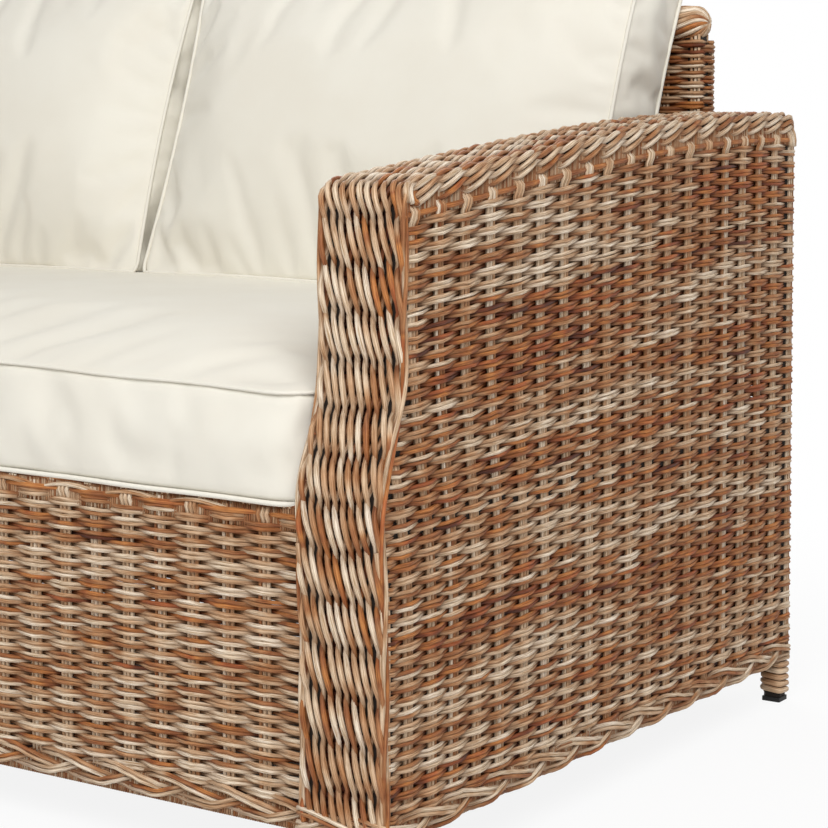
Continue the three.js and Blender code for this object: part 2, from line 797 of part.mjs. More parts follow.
// Leans a back cushion on the roll, with its lower edge pressed to the seat's crown.
function leaningCushion(side) {
  const geometry = cushionForm(backCushion);
  const up = new THREE.Vector3(0, Math.sin(backLean), Math.cos(backLean));
  const out = new THREE.Vector3(0, -Math.cos(backLean), Math.sin(backLean));
  const rear = rollRadius + backRearCrown + touchGap;
  const seam = seatTopAt(0, backMiddle - seatCushion.depth * backFootShare) - backSinkIn;
  const rise = (hoopTop + rear * Math.sin(backLean) - seam) / Math.cos(backLean);
  const low = new THREE.Vector3(0, backMiddle, hoopTop)
    .addScaledVector(out, rear)
    .addScaledVector(up, -rise);
  const middle = side * (cushionJoint / 2 + backCushion.width / 2);
  const points = geometry.attributes.position;
  for (let i = 0; i < points.count; i += 1) {
    const [x, v, n] = [points.getX(i) + middle, points.getY(i), points.getZ(i)];
    const at = low.clone().addScaledVector(up, v + backCushion.depth / 2).addScaledVector(out, n);
    points.setXYZ(i, x, at.y, at.z);
  }
  const seat = cushionForm(seatCushion).translate(0, seatCushionY, seatCushionFoot + touchGap);
  return cutFrom(geometry, [seat]);
}

function addCushions() {
  const seat = addMesh(sofa, 'seat_cushion', cushionForm(seatCushion), 'canvas');
  seat.position.set(0, seatCushionY, seatCushionFoot);
  addMesh(sofa, 'back_cushion_left', leaningCushion(-1), 'canvas');
  addMesh(sofa, 'back_cushion_right', leaningCushion(1), 'canvas');
}

addArm(1);
addArm(-1);
addSeatFrame();
addApronAndDeck();
addBack();
addLegs();
addCushions();

export default sofa;
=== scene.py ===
# Rattan garden sofa: real woven strands over a tube frame, with piped canvas cushions.
# Sizes are in millimetres until a mesh is made, and the frame's boxes place everything.
import math

import bmesh
import bpy
import numpy as np
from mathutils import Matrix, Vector, noise
from mathutils.bvhtree import BVHTree


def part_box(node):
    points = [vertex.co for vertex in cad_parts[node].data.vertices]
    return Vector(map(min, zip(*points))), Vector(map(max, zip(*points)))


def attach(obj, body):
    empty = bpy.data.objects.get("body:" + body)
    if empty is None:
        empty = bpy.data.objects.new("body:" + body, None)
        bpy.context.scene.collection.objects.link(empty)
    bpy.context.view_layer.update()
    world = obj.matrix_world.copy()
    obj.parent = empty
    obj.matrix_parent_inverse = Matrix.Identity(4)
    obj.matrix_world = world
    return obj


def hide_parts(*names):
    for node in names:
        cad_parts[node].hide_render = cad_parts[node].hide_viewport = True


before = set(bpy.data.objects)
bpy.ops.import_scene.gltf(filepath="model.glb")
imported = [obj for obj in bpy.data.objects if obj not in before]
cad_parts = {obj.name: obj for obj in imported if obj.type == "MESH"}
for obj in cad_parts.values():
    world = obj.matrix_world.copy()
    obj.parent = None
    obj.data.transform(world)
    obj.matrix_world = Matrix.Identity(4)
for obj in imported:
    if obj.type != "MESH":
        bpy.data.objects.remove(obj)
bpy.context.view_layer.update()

mm = 0.001
print("frame loaded")


def nodeBox(node):
    low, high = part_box(node)
    return low / mm, high / mm


def addObject(name, data):
    thing = bpy.data.objects.new(name, data)
    bpy.context.scene.collection.objects.link(thing)
    return thing


# The frame's own faces, which the strands lie on
armOuter = nodeBox("arm_outer_weave_right")[1].x
armInner = nodeBox("arm_inner_weave_right")[0].x
armRear = nodeBox("arm_rear_weave_right")[1].y
belly = nodeBox("arm_front_band_right")[0].y
braidLow, braidHigh = (corner.z for corner in nodeBox("arm_side_braid_right"))
weaveLow = nodeBox("apron_weave")[0].z
seatTop = nodeBox("apron_weave")[1].z
apronFront = nodeBox("apron_weave")[0].y
backFront = nodeBox("back_front_weave")[0].y
backRear = nodeBox("back_rear_weave")[1].y
backEnd = nodeBox("back_end_weave_right")[1].x
rollLow, rollHigh = nodeBox("back_top_roll")
deckLow, deckHigh = nodeBox("seat_deck")
braidMiddle = (braidLow + braidHigh) / 2 - 1
rowFoot = weaveLow - 8      # rows and stakes start behind the plait
stakeFoot = weaveLow - 14
armMiddle = (armOuter + armInner) / 2
armHalf = (armOuter - armInner) / 2
sides = {"right": 1, "left": -1}


# Materials

white = (1.0, 1.0, 1.0, 1.0)


def shade(code):
    parts = [int(code[i:i + 2], 16) / 255 for i in (1, 3, 5)]
    linear = [c / 12.92 if c <= 0.04045 else ((c + 0.055) / 1.055) ** 2.4 for c in parts]
    return (*linear, 1.0)


# An input is a value, a socket, or a node, which stands for its first output
def addNode(tree, kind, settings=None, inputs=None):
    node = tree.nodes.new("ShaderNode" + kind)
    for key, value in (settings or {}).items():
        setattr(node, key, value)
    for socket, value in (inputs or {}).items():
        if isinstance(value, bpy.types.Node):
            value = value.outputs[0]
        if isinstance(value, bpy.types.NodeSocket):
            tree.links.new(value, node.inputs[socket])
        else:
            node.inputs[socket].default_value = value
    return node


def newMaterial(name):
    material = bpy.data.materials.new(name)
    material.use_nodes = True
    tree = material.node_tree
    tree.nodes.clear()
    return material, tree


def setRamp(node, stops):
    ramp = node.color_ramp
    ramp.elements.remove(ramp.elements[1])
    for i, (place, code) in enumerate(stops):
        element = ramp.elements[0] if i == 0 else ramp.elements.new(place)
        element.position = place
        element.color = shade(code)


# Every finish ends alike: a colour, a bump from one pattern, and one shader
def finishMaterial(tree, look, colour, height):
    bump = addNode(tree, "Bump", None, {
        "Strength": look["bump"], "Distance": look["bumpDepth"] * mm, "Height": height})
    shader = addNode(tree, "BsdfPrincipled", None, {
        "Base Color": colour, "Roughness": look["roughness"], "Specular IOR Level": look["specular"],
        "Sheen Weight": look["sheen"], "Normal": bump})
    addNode(tree, "OutputMaterial", None, {"Surface": shader})


# Natural rattan core, split, sun-dried and unvarnished: pale grey-beige to orange and red-brown,
# with fine streaks along each strand, a dull, waxy gleam, and painted shade where a strand lies deep in the
# weave.
rattanLook = {
    "stops": [(0.0, "#ebdfcd"), (0.16, "#deccb3"), (0.32, "#cbab8a"), (0.46, "#b28259"),
              (0.58, "#98603b"), (0.68, "#be8049"), (0.8, "#a9623a"), (0.9, "#84492b"), (1.0, "#562c19")],
    "streakWidth": 0.55,      # mm, across the strand
    "streakLength": 20.0,     # mm, along it
    "streakFrom": 0.38, "streakTo": 0.58,
    "streakDark": "#bda58a",  # what a dark streak takes from the colour
    "streakLight": 1.14,
    "blotch": 40.0,           # mm
    "blotchShift": 0.12,      # how far a blotch moves the tone
    # Painted shade: the colour is darkened towards this where a strand lies deep in the weave
    "shadeColour": "#8c6a49",        # what is left of the colour where a strand dives under another
    "roughness": 0.55, "specular": 0.25, "sheen": 0.0, "bump": 0.25, "bumpDepth": 0.3,
}


def rattanMaterial(name, look):
    material, tree = newMaterial(name)
    tone = addNode(tree, "Attribute", {"attribute_name": "tone"})
    shadeAmount = addNode(tree, "Attribute", {"attribute_name": "shadeAmount"})
    place = addNode(tree, "Attribute", {"attribute_name": "strandAt"})
    fine = 1 / look["streakWidth"]
    stretched = addNode(tree, "Mapping", None, {
        "Vector": place.outputs["Vector"], "Scale": (1 / look["streakLength"], fine, fine)})
    streak = addNode(tree, "TexNoise", None, {
        "Vector": stretched, "Scale": 1.0, "Detail": 3.0, "Roughness": 0.6})
    blotch = addNode(tree, "TexNoise", None, {
        "Vector": place.outputs["Vector"], "Scale": 1 / look["blotch"], "Detail": 2.0})
    shift = addNode(tree, "MapRange", None, {
        "Value": blotch, "From Min": 0.3, "From Max": 0.7,
        "To Min": -look["blotchShift"], "To Max": look["blotchShift"]})
    drift = addNode(tree, "Math", None, {0: tone.outputs["Fac"], 1: shift})
    ramp = addNode(tree, "ValToRGB", None, {"Fac": drift})
    setRamp(ramp, look["stops"])
    depth = addNode(tree, "MapRange", None, {
        "Value": streak, "From Min": look["streakFrom"], "From Max": look["streakTo"]})
    light = look["streakLight"]
    streaked = addNode(tree, "Mix", {"data_type": "RGBA"}, {
        "Factor": depth, "A": shade(look["streakDark"]), "B": (light, light, light, 1.0)})
    # Painted shade: the colour is multiplied towards the shade colour by each vertex's painted shade amount
    shadeLayer = addNode(tree, "Mix", {"data_type": "RGBA"}, {
        "Factor": shadeAmount.outputs["Fac"], "A": white, "B": shade(look["shadeColour"])})
    colour = ramp
    for layer in (shadeLayer, streaked):
        mixed = addNode(tree, "Mix", {"data_type": "RGBA", "blend_type": "MULTIPLY"}, {
            "Factor": 1.0, "A": colour, "B": layer.outputs["Result"]})
        colour = mixed.outputs["Result"]
    finishMaterial(tree, look, colour, streak)
    return material


# Heavy cotton canvas in off-white, plain woven: matt, faintly fuzzy, with a visible thread.
canvasLook = {
    "colour": "#ebe7db", "shadow": "#e8e3d6",
    "thread": 0.9,            # mm, drawn coarser than the real 0.4 so that it shows
    "roughness": 0.95, "specular": 0.2, "sheen": 0.12, "bump": 0.10, "bumpDepth": 0.3,
}


def canvasMaterial(name, look):
    material, tree = newMaterial(name)
    place = addNode(tree, "TexCoord")
    split = addNode(tree, "SeparateXYZ", None, {"Vector": place.outputs["Object"]})
    rise = addNode(tree, "Math", None, {0: split.outputs["Y"], 1: split.outputs["Z"]})
    turns = 2 * math.pi / (look["thread"] * mm)
    waves = []
    for socket in (split.outputs["X"], rise):
        angle = addNode(tree, "Math", {"operation": "MULTIPLY"}, {0: socket, 1: turns})
        waves.append(addNode(tree, "Math", {"operation": "SINE"}, {0: angle}))
    weave = addNode(tree, "Math", {"operation": "MULTIPLY"}, dict(enumerate(waves)))
    cloud = addNode(tree, "TexNoise", None, {
        "Vector": place.outputs["Object"], "Scale": 9.0, "Detail": 4.0, "Roughness": 0.6})
    mix = addNode(tree, "MapRange", None, {"Value": cloud, "From Min": 0.35, "From Max": 0.7})
    colour = addNode(tree, "Mix", {"data_type": "RGBA"}, {
        "Factor": mix, "A": shade(look["colour"]), "B": shade(look["shadow"])})
    finishMaterial(tree, look, colour.outputs["Result"], weave)
    return material


# Powder-coated aluminium: a dark brown skin with a fine orange peel. Moulded polyamide: black,
# matt, with a fine spark-eroded grain.
tubeLook = {
    "colour": "#130c07", "edge": "#1c120b", "peel": 1.6, "roughness": 0.7, "specular": 0.25,
    "sheen": 0.0, "bump": 0.12, "bumpDepth": 0.1,
}
footLook = dict(tubeLook, colour="#171615", edge="#232120", peel=0.8, roughness=0.55)


def coatedMaterial(name, look):
    material, tree = newMaterial(name)
    place = addNode(tree, "TexCoord")
    peel = addNode(tree, "TexNoise", None, {
        "Vector": place.outputs["Object"], "Scale": 1 / (look["peel"] * mm), "Detail": 2.0})
    cloud = addNode(tree, "TexNoise", None, {
        "Vector": place.outputs["Object"], "Scale": 25.0, "Detail": 3.0})
    colour = addNode(tree, "Mix", {"data_type": "RGBA"}, {
        "Factor": cloud, "A": shade(look["colour"]), "B": shade(look["edge"])})
    finishMaterial(tree, look, colour.outputs["Result"], peel)
    return material


canvas = canvasMaterial("cotton canvas", canvasLook)
tubeCoat = coatedMaterial("powder-coated aluminium", tubeLook)
footPlastic = coatedMaterial("moulded polyamide", footLook)
finishes = {
    "rattan": rattanMaterial("natural rattan, woven", rattanLook),
    "pale_rattan": rattanMaterial("natural rattan, thick core", dict(rattanLook, streakLength=28.0)),
}


# Lines and strands

def bezier(start, near, far, end, count=24):
    t = np.linspace(0, 1, count)[:, None]
    a, b, c, d = (np.array(p, float) for p in (start, near, far, end))
    return (1 - t) ** 3 * a + 3 * t * (1 - t) ** 2 * b + 3 * t * t * (1 - t) * c + t ** 3 * d


def bend(start, corner, end, count=12):
    t = np.linspace(0, 1, count)[:, None]
    a, b, c = (np.array(p, float) for p in (start, corner, end))
    return (1 - t) ** 2 * a + 2 * t * (1 - t) * b + t * t * c


def joined(*lines):
    points = np.vstack([np.atleast_2d(line) for line in lines])
    gap = np.linalg.norm(np.diff(points, axis=0), axis=1)
    return points[np.concatenate([[True], gap > 0.01])]


def roundedLine(corners, radius):
    corners = [np.array(corner, float) for corner in corners]
    line = [corners[0]]
    for before, corner, after in zip(corners, corners[1:], corners[2:]):
        start = corner + radius * (before - corner) / np.linalg.norm(before - corner)
        end = corner + radius * (after - corner) / np.linalg.norm(after - corner)
        line.append(bend(start, corner, end))
    return joined(*line, corners[-1])


# A line in a plane as a function of the length along it and the distance out of it. With turn 1
# the outside lies to the right of the way along the line.
def pathOn(points, turn):
    length = np.concatenate([[0], np.cumsum(np.linalg.norm(np.diff(points, axis=0), axis=1))])
    way = np.gradient(points, length, axis=0)
    way /= np.linalg.norm(way, axis=1)[:, None]
    normal = turn * np.column_stack([way[:, 1], -way[:, 0]])

    def at(along, out):
        return [np.interp(along, length, points[:, i]) + out * np.interp(along, length, normal[:, i])
                for i in (0, 1)]

    return at, length[-1]


# Turns arrays of (along, up, out) into points on an upright skin over a path
def pathPlace(path, lead=0.0):
    def place(along, up, out):
        x, y = path(along + lead, out)
        return np.column_stack([x, y, up])

    return place


def smoothStep(low, high, value):
    t = np.clip((value - low) / (high - low), 0, 1)
    return t * t * (3 - 2 * t)


def constant(value):
    return lambda along: np.full(len(along), float(value))


def noiseAt(u, v, seed):
    u, v = np.broadcast_arrays(u, v)
    return np.array([noise.noise(Vector((a, b, seed * 7.31))) for a, b in zip(u, v)])


# What colour each strand has along its way: slow bands over the rows, a shift of its own,
# and here and there an orange stretch.
toneLook = {
    "mean": 0.38, "band": 0.42, "bandLength": 420.0, "bandRows": 6.0,
    "own": 0.28, "ownLength": 85.0, "ownSpread": 0.45,
    "orange": 0.2, "orangeLength": 110.0, "orangeFrom": 0.12, "orangeTo": 0.32,
}
# The bands and plaits are paler, and change sooner
bandTones = dict(toneLook, mean=0.2, band=0.16, bandLength=300.0, bandRows=1.3, own=0.26,
                 ownLength=60.0, orange=0.28, orangeLength=100.0)


toneRange = (0.02, 0.98)
# Painted shade: what lies behind the strands is drawn in the darkest tone and fully shaded
darkest = (0.98, 1.0)       # tone and hollow of what lies behind the strands


def toneAlong(along, row, seed, draw, look=toneLook):
    slow = noiseAt(along / look["bandLength"], row / look["bandRows"], seed)
    own = noiseAt(along / look["ownLength"], row * 1.37, seed + 11)
    warm = noiseAt(along / look["orangeLength"], row * 2.71, seed + 23)
    tone = look["mean"] + look["band"] * slow + look["own"] * (own + draw.normal(0, look["ownSpread"]))
    warm = smoothStep(look["orangeFrom"], look["orangeTo"], warm)
    return np.clip(tone + look["orange"] * warm, *toneRange)


# One open or ring-shaped tube for each (points, radius), all in one mesh
def tubeMesh(name, lines, tubeSides, closed=False):
    curve = bpy.data.curves.new(name, "CURVE")
    curve.dimensions = "3D"
    curve.bevel_depth = 1.0
    curve.bevel_resolution = (tubeSides - 4) // 2
    for points, radius in lines:
        spline = curve.splines.new("POLY")
        spline.points.add(len(points) - 1)
        spline.use_cyclic_u = closed
        spline.points.foreach_set("co", np.column_stack([points * mm, np.ones(len(points))]).ravel())
        spline.points.foreach_set("radius", np.broadcast_to(radius, len(points)) * mm)
    holder = addObject(name, curve)
    mesh = bpy.data.meshes.new_from_object(holder.evaluated_get(bpy.context.evaluated_depsgraph_get()))
    bpy.data.objects.remove(holder)
    bpy.data.curves.remove(curve)
    mesh.name = name
    mesh.materials.clear()
    return mesh


# Turns strands, each (points, radius, tone, painted shade), into one piece. Each vertex knows its strand's
# tone, how much painted shade darkens it (0 to 1, more where it lies deep in the weave) and its own place
# on the strand, and each strand has a lane of the piece's map.
def strandPiece(name, strands, nodes=(), tubeSides=8, slot="pale_rattan"):
    mesh = tubeMesh(name, [strand[:2] for strand in strands], tubeSides)
    paintStrands(mesh, strands, tubeSides)
    closeEnds(mesh)
    mesh.materials.append(finishes[slot])
    piece = addObject(name, mesh)
    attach(piece, "frame")
    if nodes:
        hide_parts(*nodes)
    print(name, len(mesh.polygons), "faces")


# Apart is how far strands lie from each other in the pattern (mm), laneMargin a share of a lane
paintLook = {"apart": 137.0, "laneMargin": 0.12}


def paintStrands(mesh, strands, tubeSides):
    angle = 2 * math.pi * np.arange(tubeSides) / tubeSides
    tones, shadeAmounts, places, lanes = [], [], [], []
    for number, (points, radius, tone, shadeAmount) in enumerate(strands):
        steps = np.linalg.norm(np.diff(points, axis=0), axis=1)
        along = np.concatenate([[0], np.cumsum(steps)]) + number * paintLook["apart"]
        radius = np.broadcast_to(radius, len(points))
        tones.append(np.repeat(np.broadcast_to(tone, len(points)), tubeSides))
        shadeAmounts.append(np.repeat(np.broadcast_to(shadeAmount, len(points)), tubeSides))
        places.append(np.column_stack([np.repeat(along, tubeSides),
                                       np.outer(radius, np.cos(angle)).ravel(),
                                       np.outer(radius, np.sin(angle)).ravel()]))
        lanes.append(np.full((len(points) - 1) * tubeSides * 4, number))
    for name, values in (("tone", tones), ("shadeAmount", shadeAmounts)):
        mesh.attributes.new(name, "FLOAT", "POINT").data.foreach_set("value", np.concatenate(values))
    spot = mesh.attributes.new("strandAt", "FLOAT_VECTOR", "POINT")
    spot.data.foreach_set("vector", np.vstack(places).ravel())
    laneMap = mesh.uv_layers[0]
    laneMap.name = "OFBake"
    uv = np.zeros(len(mesh.loops) * 2, np.float32)
    laneMap.data.foreach_get("uv", uv)
    uv = uv.reshape(-1, 2)
    margin = paintLook["laneMargin"]
    uv[:, 1] = (np.concatenate(lanes) + margin + (1 - 2 * margin) * uv[:, 1]) / len(strands)
    laneMap.data.foreach_set("uv", uv.ravel())


def closeEnds(mesh):
    form = bmesh.new()
    form.from_mesh(mesh)
    rim = [edge for edge in form.edges if edge.is_boundary]
    caps = bmesh.ops.holes_fill(form, edges=rim, sides=0)["faces"]
    lane = form.loops.layers.uv["OFBake"]
    for cap in caps:
        for loop in cap.loops:
            beside = next(other for other in loop.vert.link_loops if other.face != cap)
            loop[lane].uv = beside[lane].uv
    bmesh.ops.recalc_face_normals(form, faces=form.faces)
    form.to_mesh(mesh)
    form.free()


# Plain weave: pairs of wefts go over and under flat stakes of three strands. A plan's stakeAt says
# how far along each stake stands at a height, place turns arrays of (along, up, out) into points,
# edge says where the rows start, and top how high they reach.
weaveLook = {
    "weft": 1.73, "swell": 0.14, "depth": -5.0, "wave": 3.7, "twin": 1.5, "twinOver": 0.28,
    "wobble": 0.2, "twinWobble": 0.12, "outWobble": 0.2, "spread": 0.07, "tuck": 14.0,
    "tuckDepth": -6.5, "floatTone": 0.09, "jitter": 2.2,
    "stake": 2.2, "stakeGap": 4.6, "stakeDepth": -4.6, "stakeRound": 0.3, "stakeStep": 18.0,
    # The stakes' last value is an even painted shade on them
    "stakeTone": 0.25, "stakeToneSpread": 0.13, "stakeToneDrift": 0.16, "stakeShade": 0.12,
    "leanReach": 5, "leanLow": 240.0, "leanHigh": 500.0,    # above leanHigh a stake stands upright
}
# Over the thick strand a stake's head rises by over, then tucks in
headLook = {"steps": [26, 21, 16, 11, 6, 0], "clear": 30, "over": 3.8, "reach": 5.5,
            "tuck": 3.0, "tuckFrom": 4.0, "tuckTo": 9.0}


def stakePlaces(first, pitch, seed, shift=0.0):
    look = weaveLook
    numbers = np.arange(-5, 55)
    jitter = np.random.default_rng(seed + 500).uniform(-1, 1, len(numbers)) * look["jitter"]

    def at(number, up):
        upright = smoothStep(look["leanLow"], look["leanHigh"], up)
        lean = shift * np.exp(-number / look["leanReach"]) * (1 - upright)
        return first + pitch * number + np.interp(number, numbers, jitter) + lean

    return at


def wefts(plan, place, seed, look=weaveLook):
    draw = np.random.default_rng(seed)
    numbers = np.arange(plan["from"], plan["to"], 1 / plan.get("perCell", 4))
    strands = []
    for row in range(plan["rows"]):
        level = np.full(len(numbers), float(plan["low"]))
        for refining in range(3):
            reach = plan["stakeAt"](numbers, level)
            level = plan["low"] + (plan["top"](reach) - plan["low"]) * (row + 0.5) / plan["rows"]
        edge = plan["edge"](level)
        inner = (reach > edge + 2) & (reach < plan["end"] - 2)
        along = np.concatenate([[edge[inner][0]], reach[inner], [plan["end"]]])
        number = np.interp(along, reach, numbers)
        up = np.interp(along, reach, level)
        wave = np.cos(np.pi * (number + row))
        sag = look["wobble"] * draw.normal(0, 1, len(along))
        inside = smoothStep(0, look["tuck"], along - along[0])
        for twin in (-1, 1):
            lift = twin * (look["twin"] + look["twinOver"] * wave) * plan["thick"]
            lift = lift + look["twinWobble"] * draw.normal(0, 1, len(along))
            out = look["depth"] + look["wave"] * wave + draw.normal(0, look["outWobble"], len(along))
            out = look["tuckDepth"] + (out - look["tuckDepth"]) * inside
            radius = look["weft"] * plan["thick"] * (1 + draw.normal(0, look["spread"]))
            floatTones = draw.normal(0, look["floatTone"], 60)
            own = floatTones[np.rint((number + row) / 2).astype(int) % len(floatTones)]
            tone = own + toneAlong(along, row + 0.35 * twin, seed, draw, plan.get("tones", toneLook))
            # Painted shade on a weft: full where it dives under a stake, none where it floats over
            strands.append((place(along, up + lift + sag, out), radius + look["swell"] * wave,
                            np.clip(tone, *toneRange), 0.5 - 0.5 * wave))
    return strands


def stakes(plan, place, seed, look=weaveLook):
    draw = np.random.default_rng(seed + 1000)
    strands = []
    for number in plan["stakes"]:
        middle = plan["stakeAt"](float(number), look["leanHigh"])
        reach = plan["stakeTop"](np.array([middle]))[0]
        count = max(3, int((reach - plan["stakeLow"]) / look["stakeStep"]))
        up = np.linspace(plan["stakeLow"], reach, count)
        if "rail" in plan:
            up = np.concatenate([up[up < reach - headLook["clear"]], reach - np.array(headLook["steps"])])
        line = plan["stakeAt"](np.full(len(up), float(number)), up)
        shown = line > plan["edge"](up) - 1
        up, line = up[shown], line[shown]
        if len(up) < 3:
            continue
        for member in (-1, 0, 1):
            along = line + member * look["stakeGap"] + draw.normal(0, 0.2, len(up))
            out = look["stakeDepth"] + draw.normal(0, 0.15, len(up)) - look["stakeRound"] * abs(member)
            if "rail" in plan and number % plan["heads"] == 0:
                over = up - plan["rail"](np.array([middle]))[0]
                out = out + headLook["over"] * np.exp(-(over / headLook["reach"]) ** 2)
                out = out - headLook["tuck"] * smoothStep(headLook["tuckFrom"], headLook["tuckTo"], over)
            tone = look["stakeTone"] + look["stakeToneSpread"] * draw.normal()
            tone = tone + look["stakeToneDrift"] * noiseAt(up / 60, number * 1.7, seed)
            strands.append((place(along, up, out), look["stake"], np.clip(tone, 0.02, 0.62),
                            look["stakeShade"]))
    return strands


# The arm from the side, as (depth, height): the S-shaped front, its corner, the arch, and the rear
armShape = {
    "foot": 5, "brow": 34, "bellyStart": 200, "bellyTop": 335, "browStart": 465, "bellyEase": 45,
    "browEase": 50, "frontHeight": 624.5, "rearHeight": 685, "frontCorner": 22, "rearCorner": 25,
    "archFront": 300, "archFrontRise": 31.5, "archRear": 292, "archCrown": 5,
}


def armLines(size, bottom):
    foot, brow = belly + size["foot"], belly + size["brow"]
    front, rear = size["frontHeight"], size["rearHeight"]
    lower = bezier((foot, size["bellyStart"]), (foot, size["bellyStart"] + size["bellyEase"]),
                   (belly, size["bellyTop"] - size["bellyEase"]), (belly, size["bellyTop"]))
    upper = bezier((belly, size["bellyTop"]), (belly, size["bellyTop"] + size["browEase"]),
                   (brow, size["browStart"] - size["browEase"]), (brow, size["browStart"]))
    arch = bezier((brow, front), (brow + size["archFront"], front + size["archFrontRise"]),
                  (armRear - size["archRear"], rear + size["archCrown"]), (armRear, rear), 120)
    inside = arch[(arch[:, 0] > brow + size["frontCorner"]) & (arch[:, 0] < armRear - size["rearCorner"])]
    rise = joined((foot, bottom), lower, upper, (brow, front - size["frontCorner"]))
    over = joined(bend(rise[-1], (brow, front), inside[0]), inside,
                  bend(inside[-1], (armRear, rear), (armRear, rear - size["rearCorner"])))
    return rise, over, arch


frontLine, topLine, archLine = armLines(armShape, braidHigh - 16)
brow = frontLine[-1][0]


def frontAt(up):
    return np.interp(up, frontLine[:, 1], frontLine[:, 0])


def archAt(depth):
    return np.interp(depth, archLine[:, 0], archLine[:, 1])


# Outer skin of an arm: from the front corner along the side, round the rear corner, and across
skinPlan = {"rearCorner": 7, "turnIn": 8, "lead": 50}


def armOuterPlace(side):
    lead, outer, inner = skinPlan["lead"], side * armOuter, side * armInner
    corners = [(outer, brow - lead), (outer, armRear), (inner, armRear),
               (inner, armRear - skinPlan["turnIn"])]
    path, length = pathOn(roundedLine(corners, skinPlan["rearCorner"]), side)
    return pathPlace(path, lead), length - lead


def armInnerPlace(side):
    def place(along, up, out):
        return np.column_stack([np.full(len(along), side * armInner) - side * out, brow + along, up])

    return place


sidePlan = {
    "first": 19.5, "pitch": 43.5, "shift": 30.5, "edge": 5.5, "rows": 88, "thick": 1.07,
    "railDrop": 32, "rowDrop": 37, "bandDrop": 14,
}
# The inner skin is close above the cushion's place, and coarser below it
innerPlan = {
    "inset": 6, "rows": 54, "drop": 24, "thick": 1.25, "perCell": 3,
    "change": seatTop - 30, "lowerRows": 38, "lowerPerCell": 2,
}


def armTopBelow(drop):
    return lambda along: archAt(np.clip(brow + along, brow, armRear)) - drop


def armEdge(up):
    return frontAt(up) - brow + sidePlan["edge"]


def makeArmSkins(name, side, seed):
    place, length = armOuterPlace(side)
    plan = {
        "edge": armEdge, "end": length, "from": -3.0, "to": 22.5, "rows": sidePlan["rows"],
        "stakeAt": stakePlaces(sidePlan["first"], sidePlan["pitch"], seed, sidePlan["shift"]),
        "low": rowFoot, "top": armTopBelow(sidePlan["rowDrop"]),
        "stakes": range(-2, 21), "stakeLow": stakeFoot,
        "stakeTop": armTopBelow(sidePlan["bandDrop"]), "thick": sidePlan["thick"],
        "rail": armTopBelow(sidePlan["railDrop"]), "heads": 1,
    }
    strandPiece(f"arm_outer_wefts_{name}", wefts(plan, place, seed),
                [f"arm_outer_weave_{name}", f"arm_rear_weave_{name}"], 6, "rattan")
    uprights = stakes(plan, place, seed) + ribs(6.0, length - 6, plan["rail"], place, seed)
    strandPiece(f"arm_outer_stakes_{name}", uprights, tubeSides=6)
    size = innerPlan
    inner = dict(plan, end=armRear - brow - size["inset"], stakes=range(-2, 19), low=size["change"],
                 rows=size["rows"], top=armTopBelow(size["drop"]), thick=size["thick"],
                 perCell=size["perCell"])
    del inner["rail"]
    below = dict(inner, low=rowFoot, rows=size["lowerRows"], top=constant(size["change"]),
                 perCell=size["lowerPerCell"])
    innerPlace = armInnerPlace(side)
    strands = wefts(inner, innerPlace, seed + 1) + wefts(below, innerPlace, seed + 2)
    strandPiece(f"arm_inner_wefts_{name}", strands, [f"arm_inner_weave_{name}"], 4, "rattan")
    strandPiece(f"arm_inner_stakes_{name}", stakes(inner, innerPlace, seed + 1), tubeSides=4)
    strandPiece(f"arm_side_rail_{name}", railStrands(plan, place, seed), [f"arm_side_strand_{name}"])


# One thick strand under the band, held by the stakes' heads
railLook = {
    "radius": 2.6, "depth": -3.4, "wave": 2.4, "dip": 0.9, "tone": 0.62, "start": -0.4, "steps": 6,
    "ribPitch": 2.7, "rib": 1.2, "ribDepth": -4.0, "ribRise": (-5.0, 0.0, 17.0), "ribLean": (0.0, 0.3, 0.8),
    # The ribs' last value is painted shade, as they lie in the shade under the rail
    "ribTone": 0.4, "ribToneSpread": 0.12, "ribShade": 0.42,
}


def railStrands(plan, place, seed):
    number = np.arange(railLook["start"], plan["to"], 1 / railLook["steps"])
    along = plan["stakeAt"](number, weaveLook["leanHigh"])
    number, along = number[along < plan["end"]], along[along < plan["end"]]
    wave = np.cos(2 * np.pi * number)
    out = railLook["depth"] - railLook["dip"] * wave
    tone = railLook["tone"] - 0.2 * noiseAt(along / 90, 0.0, seed)
    # Painted shade on the rail where it dips deeper
    return [(place(along, plan["rail"](along), out), railLook["radius"], tone, 0.1 + 0.1 * wave)]


# Fine ribs: the core under the rail is wound with a thin strand
def ribs(start, end, rail, place, seed):
    draw = np.random.default_rng(seed + 70)
    strands = []
    for middle in np.arange(start, end, railLook["ribPitch"]):
        up = rail(np.array([middle]))[0] + np.array(railLook["ribRise"])
        along = middle + np.array(railLook["ribLean"])
        tone = np.clip(railLook["ribTone"] + draw.normal(0, railLook["ribToneSpread"]), 0.05, 0.6)
        strands.append((place(along, up, np.full(3, railLook["ribDepth"])), railLook["rib"], tone,
                        railLook["ribShade"]))
    return strands


